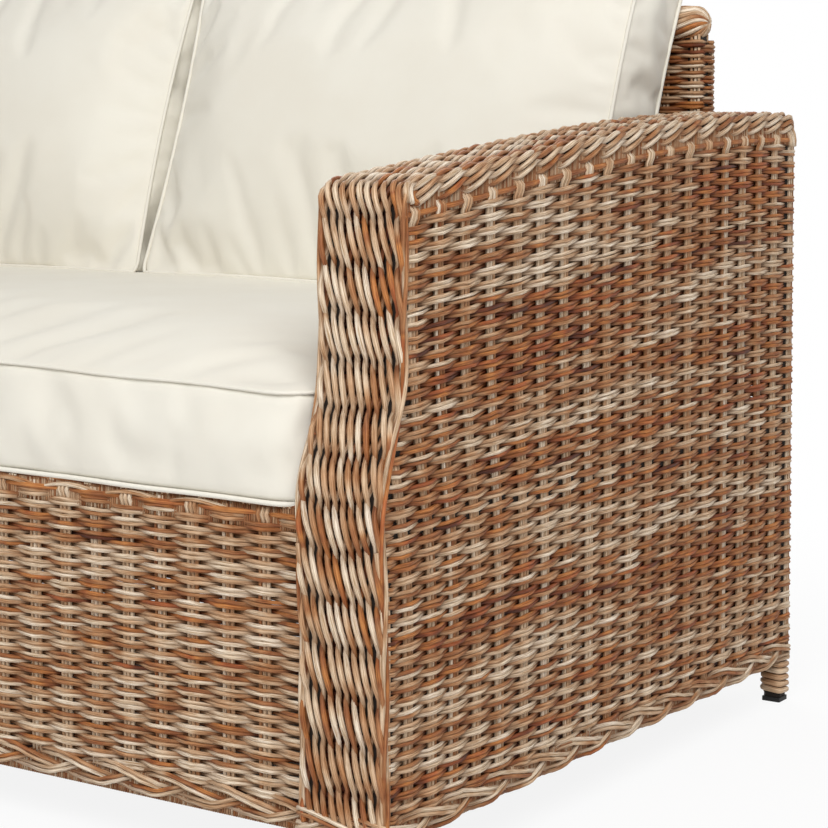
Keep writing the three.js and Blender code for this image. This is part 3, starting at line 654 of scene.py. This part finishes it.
# Twined bands: columns of two strands that turn about each other, up the front and over the arm.
# Behind them lies a row of strands drawn dark as painted shade, and a loose pair of cords covers each edge of
# the front.
bandLook = {
    "columns": range(-2, 14), "frontColumns": range(11), "frontPitch": 8.45, "topPitch": 8.57,
    "rimPitch": 7.3, "half": 42.0, "steps": 6, "width": 5.1, "rimWidth": 6.2, "round": 0.985,
    "depth": -4.4, "wave": 2.5, "thick": 2.1, "rimThick": 1.12, "swell": 0.7, "spread": 0.06,
    "phaseNoise": 2.6, "drift": 6.0, "driftLength": 160.0, "wrap": 10.0,
    "turnBefore": 30.0, "turnAfter": 60.0, "edge": 8.0, "returnReach": 26, "rearReach": 16,
    "shadePitch": 5.6, "shadeRadius": 3.0, "shadeDepth": -10.0, "shadeInset": 4.0,
    "shadeFront": 44.0, "shadeTop": 62.0, "shadePoints": 11,
    "cord": 1.9, "cordAt": 48.4, "cordTwist": 190.0, "cordStep": 9.0, "cordOver": 18.0,
    "cordSway": 2.4, "cordWander": 0.9, "cordDepth": -1.5, "cordWave": 1.2,
    "cordWarm": (0.22, 0.42),     # added to the tone of the outer pair
}


def edgeSection():
    reach = bandLook["returnReach"]
    corners = [(-armHalf, -reach), (-armHalf, 0), (armHalf, 0), (armHalf, -reach)]
    section, length = pathOn(roundedLine(corners, bandLook["edge"]), -1)
    return lambda across, out: section(across + length / 2, out)


def bandColumns(place, corner, length, seed, draw):
    look = bandLook
    centre = (look["columns"][0] + look["columns"][-1]) / 2
    strands = []
    for column in look["columns"]:
        onTop = column not in look["frontColumns"]
        along = np.arange(corner + 4 if onTop else 0.0, length, look["half"] / look["steps"])
        turn = smoothStep(corner - look["turnBefore"], corner + look["turnAfter"], along)
        rim = max(0.0, abs(column - centre) - 5.0) * (look["topPitch"] - look["rimPitch"])
        onTopMiddle = (column - centre) * look["topPitch"] - math.copysign(rim, column - centre)
        onFrontMiddle = (column - look["frontColumns"][-1] / 2) * look["frontPitch"]
        middle = onFrontMiddle * (1 - turn) + onTopMiddle * turn
        width = look["rimWidth"] if onTop else look["width"]
        shift = draw.normal(0, look["phaseNoise"]) - corner - look["wrap"]
        shift = shift + look["drift"] * noiseAt(along / look["driftLength"], column * 0.6, seed + 7)
        for member in (0, 1):
            angle = np.pi * ((along + shift) / look["half"] + member)
            sway = np.arcsin(look["round"] * np.sin(angle)) / math.asin(look["round"])
            out = look["depth"] + look["wave"] * np.cos(angle)
            swell = look["swell"] * (1 - 0.5 * turn) * (1 + draw.normal(0, look["spread"]))
            radius = look["thick"] + swell * np.abs(np.cos(angle))
            tone = toneAlong(along, column * 2.0 + member, seed, draw, bandTones)
            # Painted shade where a strand turns deep under its partner
            strands.append((place(along, middle - width * sway, out),
                            radius * (look["rimThick"] if onTop else 1.0), tone, 0.5 - 0.5 * np.cos(angle)))
    return strands


# These strands stand for the shade behind the band: drawn darkest, as painted shade
def bandShadeStrands(place, corner, length):
    look = bandLook
    count = look["shadePoints"]
    strands = []
    for middle in np.arange(look["shadeInset"], length - look["shadeInset"], look["shadePitch"]):
        reach = look["shadeFront"] if middle < corner else look["shadeTop"]
        line = place(np.full(count, middle), np.linspace(-reach, reach, count),
                     np.full(count, look["shadeDepth"]))
        strands.append((line, look["shadeRadius"], *darkest))
    return strands


def bandCords(place, corner, seed, draw):
    look = bandLook
    along = np.arange(0.0, corner + look["cordOver"], look["cordStep"])
    strands = []
    for across in (-look["cordAt"], look["cordAt"]):
        for member, warm in enumerate(look["cordWarm"]):
            angle = 2 * np.pi * along / look["cordTwist"] + np.pi * member
            sway = look["cordSway"] * np.sin(angle) + look["cordWander"] * noiseAt(along / 60, across, seed)
            out = look["cordDepth"] + look["cordWave"] * np.cos(angle)
            tone = toneAlong(along, across + 3.0 * member, seed + 3, draw, bandTones)
            tone = np.clip(tone + (warm if across > 0 else 0.0), 0.02, 0.8)
            # Painted shade where a cord turns deeper
            strands.append((place(along, across + sway, out), look["cord"], tone, 0.2 - 0.2 * np.cos(angle)))
    return strands


def makeBand(name, side, seed):
    draw = np.random.default_rng(seed)
    section = edgeSection()
    rearEnd = (topLine[-1][0], topLine[-1][1] - bandLook["rearReach"])
    path, length = pathOn(joined(frontLine, topLine, rearEnd), -1)
    corner = np.linalg.norm(np.diff(frontLine, axis=0), axis=1).sum()

    def place(along, across, out):
        wide, lift = section(across, out)
        y, z = path(along, lift)
        return np.column_stack([side * (armMiddle + wide), y, z])

    strands = bandColumns(place, corner, length, seed, draw) + bandShadeStrands(place, corner, length)
    strands += bandCords(place, corner, seed, draw)
    strandPiece(f"arm_band_{name}", strands, [f"arm_front_band_{name}", f"arm_top_band_{name}"])


# Plaited edges: three groups of two strands. Over one period a group runs down over one group and
# under the next, turns at the lower edge, and climbs over one and under one. sway and front list
# (share of the period, height or depth).
braidLook = {
    "period": 200.0, "height": 10.0, "spacing": 2.1, "wave": 2.7, "depth": -2.4, "thick": 2.0,
    "steps": 28, "jitter": 0.25, "core": 4.2, "coreDepth": -9.5, "corePitch": 9.0, "corner": 12,
    "sway": [(0.0, 1.0), (0.08, 0.95), (0.44, -0.6), (0.5, -0.8), (0.64, -0.85), (0.7, -0.6),
             (0.88, 0.6), (0.95, 0.95), (1.0, 1.0)],
    "front": [(0.0, 0.1), (0.08, 0.8), (0.25, 1.0), (0.34, 0.5), (0.42, -0.7), (0.5, -0.6), (0.58, 0.3),
              (0.68, 0.9), (0.76, 0.6), (0.84, -0.8), (0.92, -1.0), (1.0, 0.1)],
}


def plait(place, length, seed, cores=3):
    look = braidLook
    draw = np.random.default_rng(seed)
    along = np.arange(0.0, length, look["period"] / look["steps"])
    strands = []
    for member in range(3):
        share = (along / look["period"] + member / 3) % 1
        sway = np.interp(share, *zip(*look["sway"]))
        front = np.interp(share, *zip(*look["front"]))
        for twin in (-1, 1):
            up = braidMiddle + look["height"] * sway + twin * look["spacing"]
            up = up + draw.normal(0, look["jitter"], len(along))
            tone = toneAlong(along, member * 2.0 + twin * 0.6, seed, draw, bandTones)
            # Painted shade where a group passes under the others
            strands.append((place(along, up, look["depth"] + look["wave"] * front), look["thick"], tone,
                            0.4 - 0.4 * front))
    # The core strands are drawn in the darkest tone, as painted shade behind the plait
    for number in range(cores):
        up = np.full(len(along[::2]), braidMiddle + (number - 1) * look["corePitch"])
        strands.append((place(along[::2], up, look["coreDepth"]), look["core"], *darkest))
    return strands


# Behind the arm's lowest rows more core strands lie on the plait's own three, drawn dark as painted shade
def makeArmBraid(name, side, seed):
    foot = frontLine[0][0]
    outer, inner = side * armOuter, side * (armInner - 1)
    corners = [(inner, foot), (outer, foot), (outer, armRear), (inner, armRear)]
    path, length = pathOn(roundedLine(corners, braidLook["corner"]), side)
    place = pathPlace(path)
    strands = plait(place, length, seed, cores=7)
    strands += ribs(1, length - 1, constant(braidLow + 9), place, seed + 3)
    strandPiece(f"arm_braid_{name}", strands,
                [f"arm_{part}_braid_{name}" for part in ("front", "side", "rear")])


# The apron under the seat, with its thick strand and the thin ones that arch over it
apronPlan = {
    "firstInset": 50.4, "spans": 32, "rows": 44, "thick": 1.13, "railDrop": 7, "rowDrop": 10,
    "railTone": 0.68, "arch": 1.3, "archStart": 0.9, "archSpans": (2.1, 2.3), "archDrop": 9.0,
    "archRise": (6.5, 8.0), "archDepth": (-2.6, -3.8), "archLift": 1.6, "archTone": 0.34,
    "archToneSpread": 0.14,
}
apronTones = dict(toneLook, mean=0.29, band=0.38, orange=0.22, orangeLength=80.0)


def flatPlace(face, turn):
    def place(along, up, out):
        return np.column_stack([along, np.full(len(along), face) + turn * out, up])

    return place


def apronRail(plan, place, first, pitch, seed):
    size, reach = apronPlan, plan["end"]
    number = np.arange(-1.0, size["spans"] + 1.01, 1 / railLook["steps"])
    along = np.clip(plan["stakeAt"](number, weaveLook["leanHigh"]), -reach, reach)
    out = railLook["depth"] - railLook["wave"] * np.cos(np.pi * number)
    tone = size["railTone"] + 0.2 * noiseAt(along / 120, 0.0, seed)
    strands = [(place(along, plan["rail"](along), out), railLook["radius"], tone, 0.0)]
    draw = np.random.default_rng(seed + 9)
    share = np.linspace(0, 1, 9)
    hump = np.sin(np.pi * share)
    for span in range(0, size["spans"], 2):
        start = first + (span - size["archStart"]) * pitch + draw.normal(0, 2)
        for spans, high, depth in zip(size["archSpans"], size["archRise"], size["archDepth"]):
            arch = np.clip(start + share * pitch * spans, -reach, reach)
            tone = max(0.05, size["archTone"] + draw.normal(0, size["archToneSpread"]))
            up = seatTop - size["archDrop"] + high * hump
            # The arches' last value is a small even painted shade
            strands.append((place(arch, up, depth + size["archLift"] * hump), size["arch"], tone, 0.1))
    return strands


def makeApron(seed):
    place = flatPlace(apronFront, -1)
    reach = armInner - 1
    first = apronPlan["firstInset"] - armInner
    pitch = -2 * first / apronPlan["spans"]
    plan = {
        "edge": constant(-reach), "end": reach, "from": -3.0, "to": apronPlan["spans"] + 3.0,
        "stakeAt": stakePlaces(first, pitch, seed), "rows": apronPlan["rows"],
        "low": rowFoot, "top": constant(seatTop - apronPlan["rowDrop"]),
        "stakes": range(apronPlan["spans"] + 1), "stakeLow": stakeFoot,
        "stakeTop": constant(seatTop - 1.5), "thick": apronPlan["thick"], "tones": apronTones,
        "rail": constant(seatTop - apronPlan["railDrop"]), "heads": 2,
    }
    strandPiece("apron_wefts", wefts(plan, place, seed), ["apron_weave"], 6, "rattan")
    uprights = stakes(plan, place, seed)
    uprights += ribs(-reach, reach, constant(seatTop - 2 * apronPlan["railDrop"] - 2), place, seed)
    strandPiece("apron_stakes", uprights, tubeSides=6)
    strandPiece("apron_rail", apronRail(plan, place, first, pitch, seed), ["apron_strand"])
    path, length = pathOn(np.array([(-reach, apronFront), (reach, apronFront)], float), 1)
    strands = plait(pathPlace(path), length, seed)
    strands += ribs(-reach, reach, constant(braidLow + 5), place, seed + 3)
    strandPiece("apron_plait", strands, ["apron_braid"])


# The back: front skin with its ends, rear skin, wound roll and plaited edge
backPlan = {"pitch": 40.5, "corner": 6, "rowPitch": 5.9, "inset": 10, "rearInset": 12, "thick": 1.24,
            "overlap": 8}


def makeBack(seed):
    low, top = seatTop + 1, rollLow.z
    corners = [(-backEnd, backRear), (-backEnd, backFront), (backEnd, backFront), (backEnd, backRear)]
    path, length = pathOn(roundedLine(corners, backPlan["corner"]), 1)
    place = pathPlace(path)
    size, overlap = backPlan, backPlan["overlap"]
    spans = round(2 * backEnd / size["pitch"])
    pitch = 2 * (backEnd - size["inset"]) / spans
    first = backRear - backFront + size["inset"] - size["corner"]
    plan = {
        "edge": constant(2.0), "end": length - 2.0, "from": -2.0, "to": spans + 3.0,
        "stakeAt": stakePlaces(first, pitch, seed), "rows": round((top - low) / size["rowPitch"]),
        "low": low, "top": constant(top), "stakes": range(spans + 1), "stakeLow": low - overlap,
        "stakeTop": constant(top + overlap), "thick": size["thick"], "perCell": 3,
    }
    strandPiece("back_front_wefts", wefts(plan, place, seed),
                ["back_front_weave", "back_end_weave_left", "back_end_weave_right"], 4, "rattan")
    strandPiece("back_front_stakes", stakes(plan, place, seed), tubeSides=4)

    rear = flatPlace(backRear, 1)
    upper = dict(plan, edge=constant(1 - backEnd), end=backEnd - 1)
    inset = size["rearInset"]
    upper["stakeAt"] = stakePlaces(inset - backEnd, 2 * (backEnd - inset) / spans, seed + 1)
    strandPiece("back_rear_wefts_upper", wefts(upper, rear, seed + 1), ["back_rear_weave"], 4, "rattan")
    reach = armInner - 1
    lower = dict(upper, edge=constant(-reach), end=reach, low=rowFoot, stakeLow=stakeFoot,
                 rows=round((low - rowFoot) / size["rowPitch"]), top=constant(low))
    strandPiece("back_rear_wefts_lower", wefts(lower, rear, seed + 2), tubeSides=4, slot="rattan")
    strandPiece("back_rear_stakes", stakes(lower, rear, seed + 1), tubeSides=4)
    path, length = pathOn(np.array([(reach, backRear), (-reach, backRear)], float), 1)
    strandPiece("back_plait", plait(pathPlace(path), length, seed), ["back_braid"])


# The roll: strands wound round it at a flat angle, thinner where they close over its round ends
rollLook = {
    "starts": 19, "thick": 2.9, "thin": 0.45, "spread": 0.06, "pitch": 330.0, "step": 12.0,
    "endSteps": 6, "endTurn": 0.93, "jitter": 0.25,
}


def makeRoll(seed):
    look = rollLook
    draw = np.random.default_rng(seed)
    middle = (rollLow + rollHigh) / 2
    radius = (rollHigh.z - rollLow.z) / 2 - look["thick"]
    reach = rollHigh.x - look["thick"] - radius
    straight = np.arange(-reach, reach + 1, look["step"])
    tip = np.linspace(0, math.pi / 2 * look["endTurn"], look["endSteps"] + 1)[1:]
    x = np.concatenate([(-reach - radius * np.sin(tip))[::-1], straight, reach + radius * np.sin(tip)])
    full = np.concatenate([np.cos(tip)[::-1], np.ones(len(straight)), np.cos(tip)])
    strands = []
    for start in range(look["starts"]):
        angle = 2 * np.pi * (x / look["pitch"] + start / look["starts"]) + draw.normal(0, 0.02)
        lift = radius * full + draw.normal(0, look["jitter"], len(x))
        points = np.column_stack([x, middle.y - lift * np.cos(angle), middle.z + lift * np.sin(angle)])
        thick = look["thick"] * (look["thin"] + (1 - look["thin"]) * full)
        thick = thick * (1 + draw.normal(0, look["spread"]))
        strands.append((points, thick, toneAlong(x, start * 1.7, seed, draw, bandTones), 0.0))
    strandPiece("back_roll_strands", strands, ["back_top_roll"])


# The deck under the cushion: a coarse plain weave, lying flat
deckPlan = {"spans": 28, "inset": 20, "rowPitch": 12.0, "drop": 0.2}
deckLook = dict(weaveLook, depth=-2.6, tuckDepth=-2.6, wave=0.9, weft=1.5, swell=0.0, twin=1.7,
                stake=1.2, stakeGap=3.2, stakeDepth=-2.8)


def makeDeck(seed):
    def place(along, up, out):
        return np.column_stack([along, up, deckHigh.z - deckPlan["drop"] + out])

    reach, inset, spans = deckHigh.x - 2, deckPlan["inset"], deckPlan["spans"]
    plan = {
        "edge": constant(-reach), "end": reach, "from": -2.0, "to": spans + 3.0,
        "stakeAt": stakePlaces(inset - reach, 2 * (reach - inset) / spans, seed),
        "rows": round((deckHigh.y - deckLow.y) / deckPlan["rowPitch"]), "low": deckLow.y,
        "top": constant(deckHigh.y), "stakes": range(spans + 1), "stakeLow": deckLow.y + 2,
        "stakeTop": constant(deckHigh.y - 2), "thick": 1.0, "perCell": 2,
    }
    strandPiece("seat_deck_wefts", wefts(plan, place, seed, deckLook), ["seat_deck"], 4, "rattan")
    strandPiece("seat_deck_stakes", stakes(plan, place, seed, deckLook), tubeSides=4)


# Wound legs: one strand round each tube
legLook = {"thick": 3.5, "pitch": 7.6, "corner": 3, "inset": 1.0, "tuck": 6, "steps": 24,
           "tone": 0.24, "toneDrift": 0.14, "toneSpread": 0.03}


def makeLegs(seed):
    look = legLook
    for end in ("front", "rear"):
        for name, side in sides.items():
            node = f"leg_wrap_{end}_{name}"
            low, high = nodeBox(node)
            middle = (low + high) / 2
            half = (high.x - low.x) / 2 - look["inset"]
            inner = -side * half
            corners = [(inner, 0), (inner, half), (-inner, half), (-inner, -half), (inner, -half), (inner, 0)]
            path, length = pathOn(roundedLine(corners, look["corner"]), 1)
            draw = np.random.default_rng(seed)
            height = high.z - low.z - 2 * look["thick"] + look["tuck"]
            turns = height / look["pitch"]
            along = np.linspace(0, length * turns, round(turns * look["steps"]))
            x, y = path(along % length, 0.0)
            rise = low.z + look["thick"] + height * along / along[-1]
            points = np.column_stack([middle.x + x, middle.y + y, rise])
            tone = look["tone"] + look["toneDrift"] * noiseAt(along / 50, 0.0, seed)
            tone = tone + draw.normal(0, look["toneSpread"])
            strandPiece(f"leg_winding_{end}_{name}", [(points, look["thick"], tone, 0.0)], [node])
            seed += 1


for number, (name, side) in enumerate(sides.items()):
    makeArmSkins(name, side, 100 + 10 * number)
    makeBand(name, side, 140 + 10 * number)
    makeArmBraid(name, side, 180 + 10 * number)
makeApron(200)
makeBack(220)
makeRoll(240)
makeDeck(260)
makeLegs(280)
print("rattan woven")


# Cushions: a boxed form whose panels are blown up as cloth between its seams, with piping on them
seatPlan = {
    "crown": 32.0, "underCrown": 0.0, "reach": 66.0, "corner": 34.0, "drawIn": 5.0, "side": 98.0,
    "cuts": (112, 64, 8), "pressure": 1.2, "cap": 12.0, "slack": 0.012, "bow": 8.0,
    "piping": (2.4, 1.9), "proud": (0.7, -0.5),     # at the lower and the upper seam
}
backCushionPlan = {
    "crown": 40.0, "underCrown": 5.0, "reach": 66.0, "corner": 26.0, "drawIn": 11.0, "side": 100.0,
    "cuts": (78, 52, 12), "pressure": 2.0, "cap": 22.0, "slack": 0.03, "bow": 0.0,
    "piping": (2.3, 2.3), "proud": (0.0, 0.0), "lean": 19.0, "height": 438.0, "sink": 9.0,
    "jointShift": 5.0,        # the joint between the two stands this much to the right of the middle
    "pressGap": 0.6,          # left where a back cushion presses on the seat cushion
}
clothLook = {"frames": 20, "quality": 6, "mass": 0.3, "tension": 18.0, "bending": 1.2,
             "wrinkle": 1.6, "wrinkleLength": 130.0, "fill": 0.75}
cushionGap = 2              # between a cushion and what it stands against
cubeEdge = 0.4999           # past it a point lies on a face of the unit cube


# A unit cube is cut into a grid, and each of its points is moved to the cushion's form. Returns the
# mesh, the points of its two seams in order, and those of its underside.
def cushionForm(name, width, depth, plan):
    form = bmesh.new()
    bmesh.ops.create_cube(form, size=1.0)
    for axis, cuts in enumerate(plan["cuts"]):
        across = [edge for edge in form.edges
                  if abs((edge.verts[0].co - edge.verts[1].co)[axis]) > 0.5]
        bmesh.ops.subdivide_edges(form, edges=across, cuts=cuts - 1, use_grid_fill=True)
    form.verts.index_update()
    rim = [vert for vert in form.verts if max(abs(vert.co.x), abs(vert.co.y)) > cubeEdge]
    rim.sort(key=lambda vert: math.atan2(vert.co.y, vert.co.x))
    seams = {level: [vert.index for vert in rim if abs(vert.co.z - level) < 1e-4] for level in (-0.5, 0.5)}
    under = [vert.index for vert in form.verts if vert.co.z < -cubeEdge]
    for vert in form.verts:
        vert.co = cushionPoint(vert.co, width, depth, plan) * mm
    mesh = bpy.data.meshes.new(name)
    form.to_mesh(mesh)
    form.free()
    return mesh, seams, under


def cushionPoint(share, width, depth, plan):
    halfW, halfD, corner = width / 2, depth / 2, plan["corner"]
    x, y = share.x * width, share.y * depth
    overX, overY = abs(x) - (halfW - corner), abs(y) - (halfD - corner)
    if overX > 0 and overY > 0:
        pull = max(overX, overY) / math.hypot(overX, overY)
        x = math.copysign(halfW - corner + overX * pull, x)
        y = math.copysign(halfD - corner + overY * pull, y)
    crown = 1.0
    for value, half in ((x, halfW), (y, halfD)):
        crown *= max(0.0, 1 - math.exp((abs(value) - half) / plan["reach"]))
    z = (share.z + 0.5) * (plan["side"] + plan["bow"] * (1 - (x / halfW) ** 2))
    if share.z > cubeEdge:
        z += plan["crown"] * crown
    if share.z < -cubeEdge:
        z -= plan["underCrown"] * crown
    drawX = 1 - plan["drawIn"] * 2 / width * (1 - (y / halfD) ** 2)
    drawY = 1 - plan["drawIn"] * 2 / depth * (1 - (x / halfW) ** 2)
    length = clothLook["wrinkleLength"]
    wave = clothLook["wrinkle"] * noise.noise(Vector((x / length, y / length, share.z * 2.5)))
    return Vector((x * drawX + wave, y * drawY + wave, z + wave))


# Cloth between the seams, which are held. Its moves are capped, and its result is kept.
def blowUp(piece, held, plan):
    mesh = piece.data
    before = [vert.co.copy() for vert in mesh.vertices]
    pins = piece.vertex_groups.new(name="held")
    pins.add(held, 1.0, "REPLACE")
    cloth = piece.modifiers.new("cloth", "CLOTH")
    settings = cloth.settings
    settings.quality = clothLook["quality"]
    settings.mass = clothLook["mass"]
    settings.tension_stiffness = settings.compression_stiffness = clothLook["tension"]
    settings.shear_stiffness = clothLook["tension"] / 2
    settings.bending_stiffness = clothLook["bending"]
    settings.vertex_group_mass = "held"
    settings.shrink_min = -plan["slack"]
    settings.use_pressure = True
    settings.uniform_pressure_force = plan["pressure"]
    settings.effector_weights.gravity = 0.0
    scene = bpy.context.scene
    for step in range(1, clothLook["frames"] + 1):
        scene.frame_set(step)
    shown = piece.evaluated_get(bpy.context.evaluated_depsgraph_get())
    after = [vert.co.copy() for vert in shown.data.vertices]
    piece.modifiers.remove(cloth)
    piece.vertex_groups.clear()
    scene.frame_set(1)
    cap = plan["cap"] * mm
    for vert, old, new in zip(mesh.vertices, before, after):
        move = new - old
        vert.co = old + move * min(1.0, cap / max(move.length, 1e-9))
    print(piece.name, "blown up")


def makeCushion(name, width, depth, plan, place, push=None):
    mesh, seams, under = cushionForm(name, width, depth, plan)
    mesh.materials.append(canvas)
    piece = addObject(name, mesh)
    blowUp(piece, under + seams[-0.5] + seams[0.5], plan)
    for vert in mesh.vertices:
        spot = place(vert.co)
        vert.co = push(spot) if push else spot
    mesh.polygons.foreach_set("use_smooth", [True] * len(mesh.polygons))
    soft = piece.modifiers.new("soft", "SUBSURF")
    soft.levels = soft.render_levels = 1
    makePiping(name, [[mesh.vertices[i].co / mm for i in seams[level]] for level in (-0.5, 0.5)], plan)
    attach(piece, name)
    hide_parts(name)
    return piece


# A cord sewn into each seam, covered in the same canvas
def makePiping(cushion, loops, plan):
    lines = []
    for loop, thick, proud in zip(loops, plan["piping"], plan["proud"]):
        middle = sum(loop, Vector()) / len(loop)
        lines.append((np.array([spot + (spot - middle).normalized() * proud for spot in loop]), thick))
    mesh = tubeMesh(cushion + "_piping", lines, 8, closed=True)
    mesh.materials.append(canvas)
    piece = addObject(cushion + "_piping", mesh)
    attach(piece, cushion)


def makeCushions():
    low, high = nodeBox("seat_cushion")
    middle = (low + high) / 2
    base = Vector((middle.x, middle.y, low.z)) * mm
    seat = makeCushion("seat_cushion", high.x - low.x - cushionGap, high.y - low.y - cushionGap,
                       seatPlan, lambda spot: spot + base)
    bpy.context.view_layer.update()
    seatTree = BVHTree.FromObject(seat, bpy.context.evaluated_depsgraph_get())
    plan = backCushionPlan
    lean = math.radians(plan["lean"])
    up = Vector((0, math.sin(lean), math.cos(lean)))
    out = Vector((0, -math.cos(lean), math.sin(lean)))

    def push(spot):
        hit = seatTree.ray_cast(Vector((spot.x, spot.y, 1.0)), Vector((0, 0, -1)))[0]
        floor = hit.z + plan["pressGap"] * mm if hit else spot.z
        return Vector((spot.x, spot.y, max(spot.z, floor)))

    for name, side in sides.items():
        node = f"back_cushion_{name}"
        spots = [vert.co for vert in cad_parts[node].data.vertices]
        low, high = nodeBox(node)
        rise = max(spot.dot(up) for spot in spots) - (plan["height"] / 2 + plan["sink"]) * mm
        rear = min(spot.dot(out) for spot in spots) + plan["underCrown"] * mm
        shift = plan["jointShift"]
        start = Vector((((low.x + high.x) / 2 + shift) * mm, 0, 0)) + up * rise + out * rear

        def place(spot, start=start):
            return start + Vector((spot.x, 0, 0)) + up * spot.y + out * spot.z

        wide = high.x - low.x - cushionGap - 2 * side * shift
        makeCushion(node, wide, plan["height"], plan, place, push)


makeCushions()
print("cushions sewn")


# Camera, light and floor
shot = {
    "place": (1.8305, -1.9406, 0.6732), "azimuth": 33.84, "pitch": -3.69,
    "lens": 95.9, "sensor": 36.0, "shift": -0.18,
}


def makeShot():
    camera = bpy.data.cameras.new("camera")
    camera.lens = shot["lens"]
    camera.sensor_width = shot["sensor"]
    camera.shift_y = shot["shift"]
    eye = addObject("camera", camera)
    eye.location = shot["place"]
    eye.rotation_euler = (math.radians(90 + shot["pitch"]), 0, math.radians(shot["azimuth"]))
    bpy.context.scene.camera = eye


lightPlan = {
    "world": 0.36, "aim": (0.0, 0.0, 0.4),
    "key": {"place": (2.35, -2.7, 3.4), "size": 3.2, "power": 156.0},
    "rear": {"place": (-2.4, 3.4, 2.8), "size": 3.0, "power": 70.0},
}


# 1 where the world or the floor is looked at, straight, mirrored or through glass
def backgroundSwitch(tree):
    path = addNode(tree, "LightPath")
    seen = path.outputs["Is Camera Ray"]
    for ray in ("Is Glossy Ray", "Is Transmission Ray"):
        seen = addNode(tree, "Math", {"operation": "MAXIMUM"}, {0: seen, 1: path.outputs[ray]})
    return seen


def makeLights():
    world = bpy.data.worlds.new("studio")
    world.use_nodes = True
    bpy.context.scene.world = world
    tree = world.node_tree
    tree.nodes.clear()
    soft = addNode(tree, "Background", None, {"Color": white, "Strength": lightPlan["world"]})
    plain = addNode(tree, "Background", None, {"Color": white, "Strength": 1.0})
    mix = addNode(tree, "MixShader", None, {0: backgroundSwitch(tree), 1: soft, 2: plain})
    addNode(tree, "OutputWorld", None, {"Surface": mix})
    for name in ("key", "rear"):
        lamp = bpy.data.lights.new(name, "AREA")
        lamp.shape = "DISK"
        lamp.size = lightPlan[name]["size"]
        lamp.energy = lightPlan[name]["power"]
        stand = addObject(name, lamp)
        stand.location = lightPlan[name]["place"]
        aim = Vector(lightPlan["aim"]) - stand.location
        stand.rotation_euler = aim.to_track_quat("-Z", "Y").to_euler()


# Veil is how much of the floor's own grey is lifted to white for the camera near the sofa, and all of
# it is at the distance far (m). Under the sofa, in the box given by its middle and half its size (m),
# the floor keeps its own shade.
floorPlan = {
    "reach": 12.0, "grey": (0.93, 0.93, 0.93, 1.0), "veil": 0.88, "far": 1.2,
    "middle": (0.0, 0.06, 0.0), "half": (0.66, 0.32, 0.0), "soft": 0.06,
}


def makeFloor():
    form = bmesh.new()
    bmesh.ops.create_grid(form, x_segments=1, y_segments=1, size=floorPlan["reach"])
    mesh = bpy.data.meshes.new("floor")
    form.to_mesh(mesh)
    form.free()
    material, tree = newMaterial("pale floor")
    matt = addNode(tree, "BsdfDiffuse", None, {"Color": floorPlan["grey"]})
    glow = addNode(tree, "Emission", None, {"Color": white, "Strength": 1.0})
    place = addNode(tree, "TexCoord")
    offset = addNode(tree, "VectorMath", {"operation": "SUBTRACT"}, {
        0: place.outputs["Object"], 1: floorPlan["middle"]})
    spread = addNode(tree, "VectorMath", {"operation": "ABSOLUTE"}, {0: offset})
    beyond = addNode(tree, "VectorMath", {"operation": "SUBTRACT"}, {0: spread, 1: floorPlan["half"]})
    split = addNode(tree, "SeparateXYZ", None, {"Vector": beyond})
    outside = addNode(tree, "Math", {"operation": "MAXIMUM"}, {
        0: split.outputs["X"], 1: split.outputs["Y"]})
    near = addNode(tree, "MapRange", {"interpolation_type": "SMOOTHSTEP"}, {
        "Value": outside, "From Min": -floorPlan["soft"], "From Max": 0.0, "To Max": floorPlan["veil"]})
    away = addNode(tree, "MapRange", {"interpolation_type": "SMOOTHSTEP"}, {
        "Value": outside, "From Max": floorPlan["far"], "To Max": 1 - floorPlan["veil"]})
    lifted = addNode(tree, "Math", None, {0: near, 1: away})
    veil = addNode(tree, "Math", {"operation": "MULTIPLY"}, {0: backgroundSwitch(tree), 1: lifted})
    mix = addNode(tree, "MixShader", None, {0: veil, 1: matt, 2: glow})
    addNode(tree, "OutputMaterial", None, {"Surface": mix})
    mesh.materials.append(material)
    addObject("floor", mesh)


def dressNodes():
    for name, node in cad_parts.items():
        if "cushion" not in name:
            node.data.materials.clear()
            node.data.materials.append(footPlastic if name.startswith("foot_cap") else tubeCoat)


makeShot()
makeLights()
makeFloor()
dressNodes()
bpy.context.scene.view_settings.view_transform = "Standard"
print("stage set")
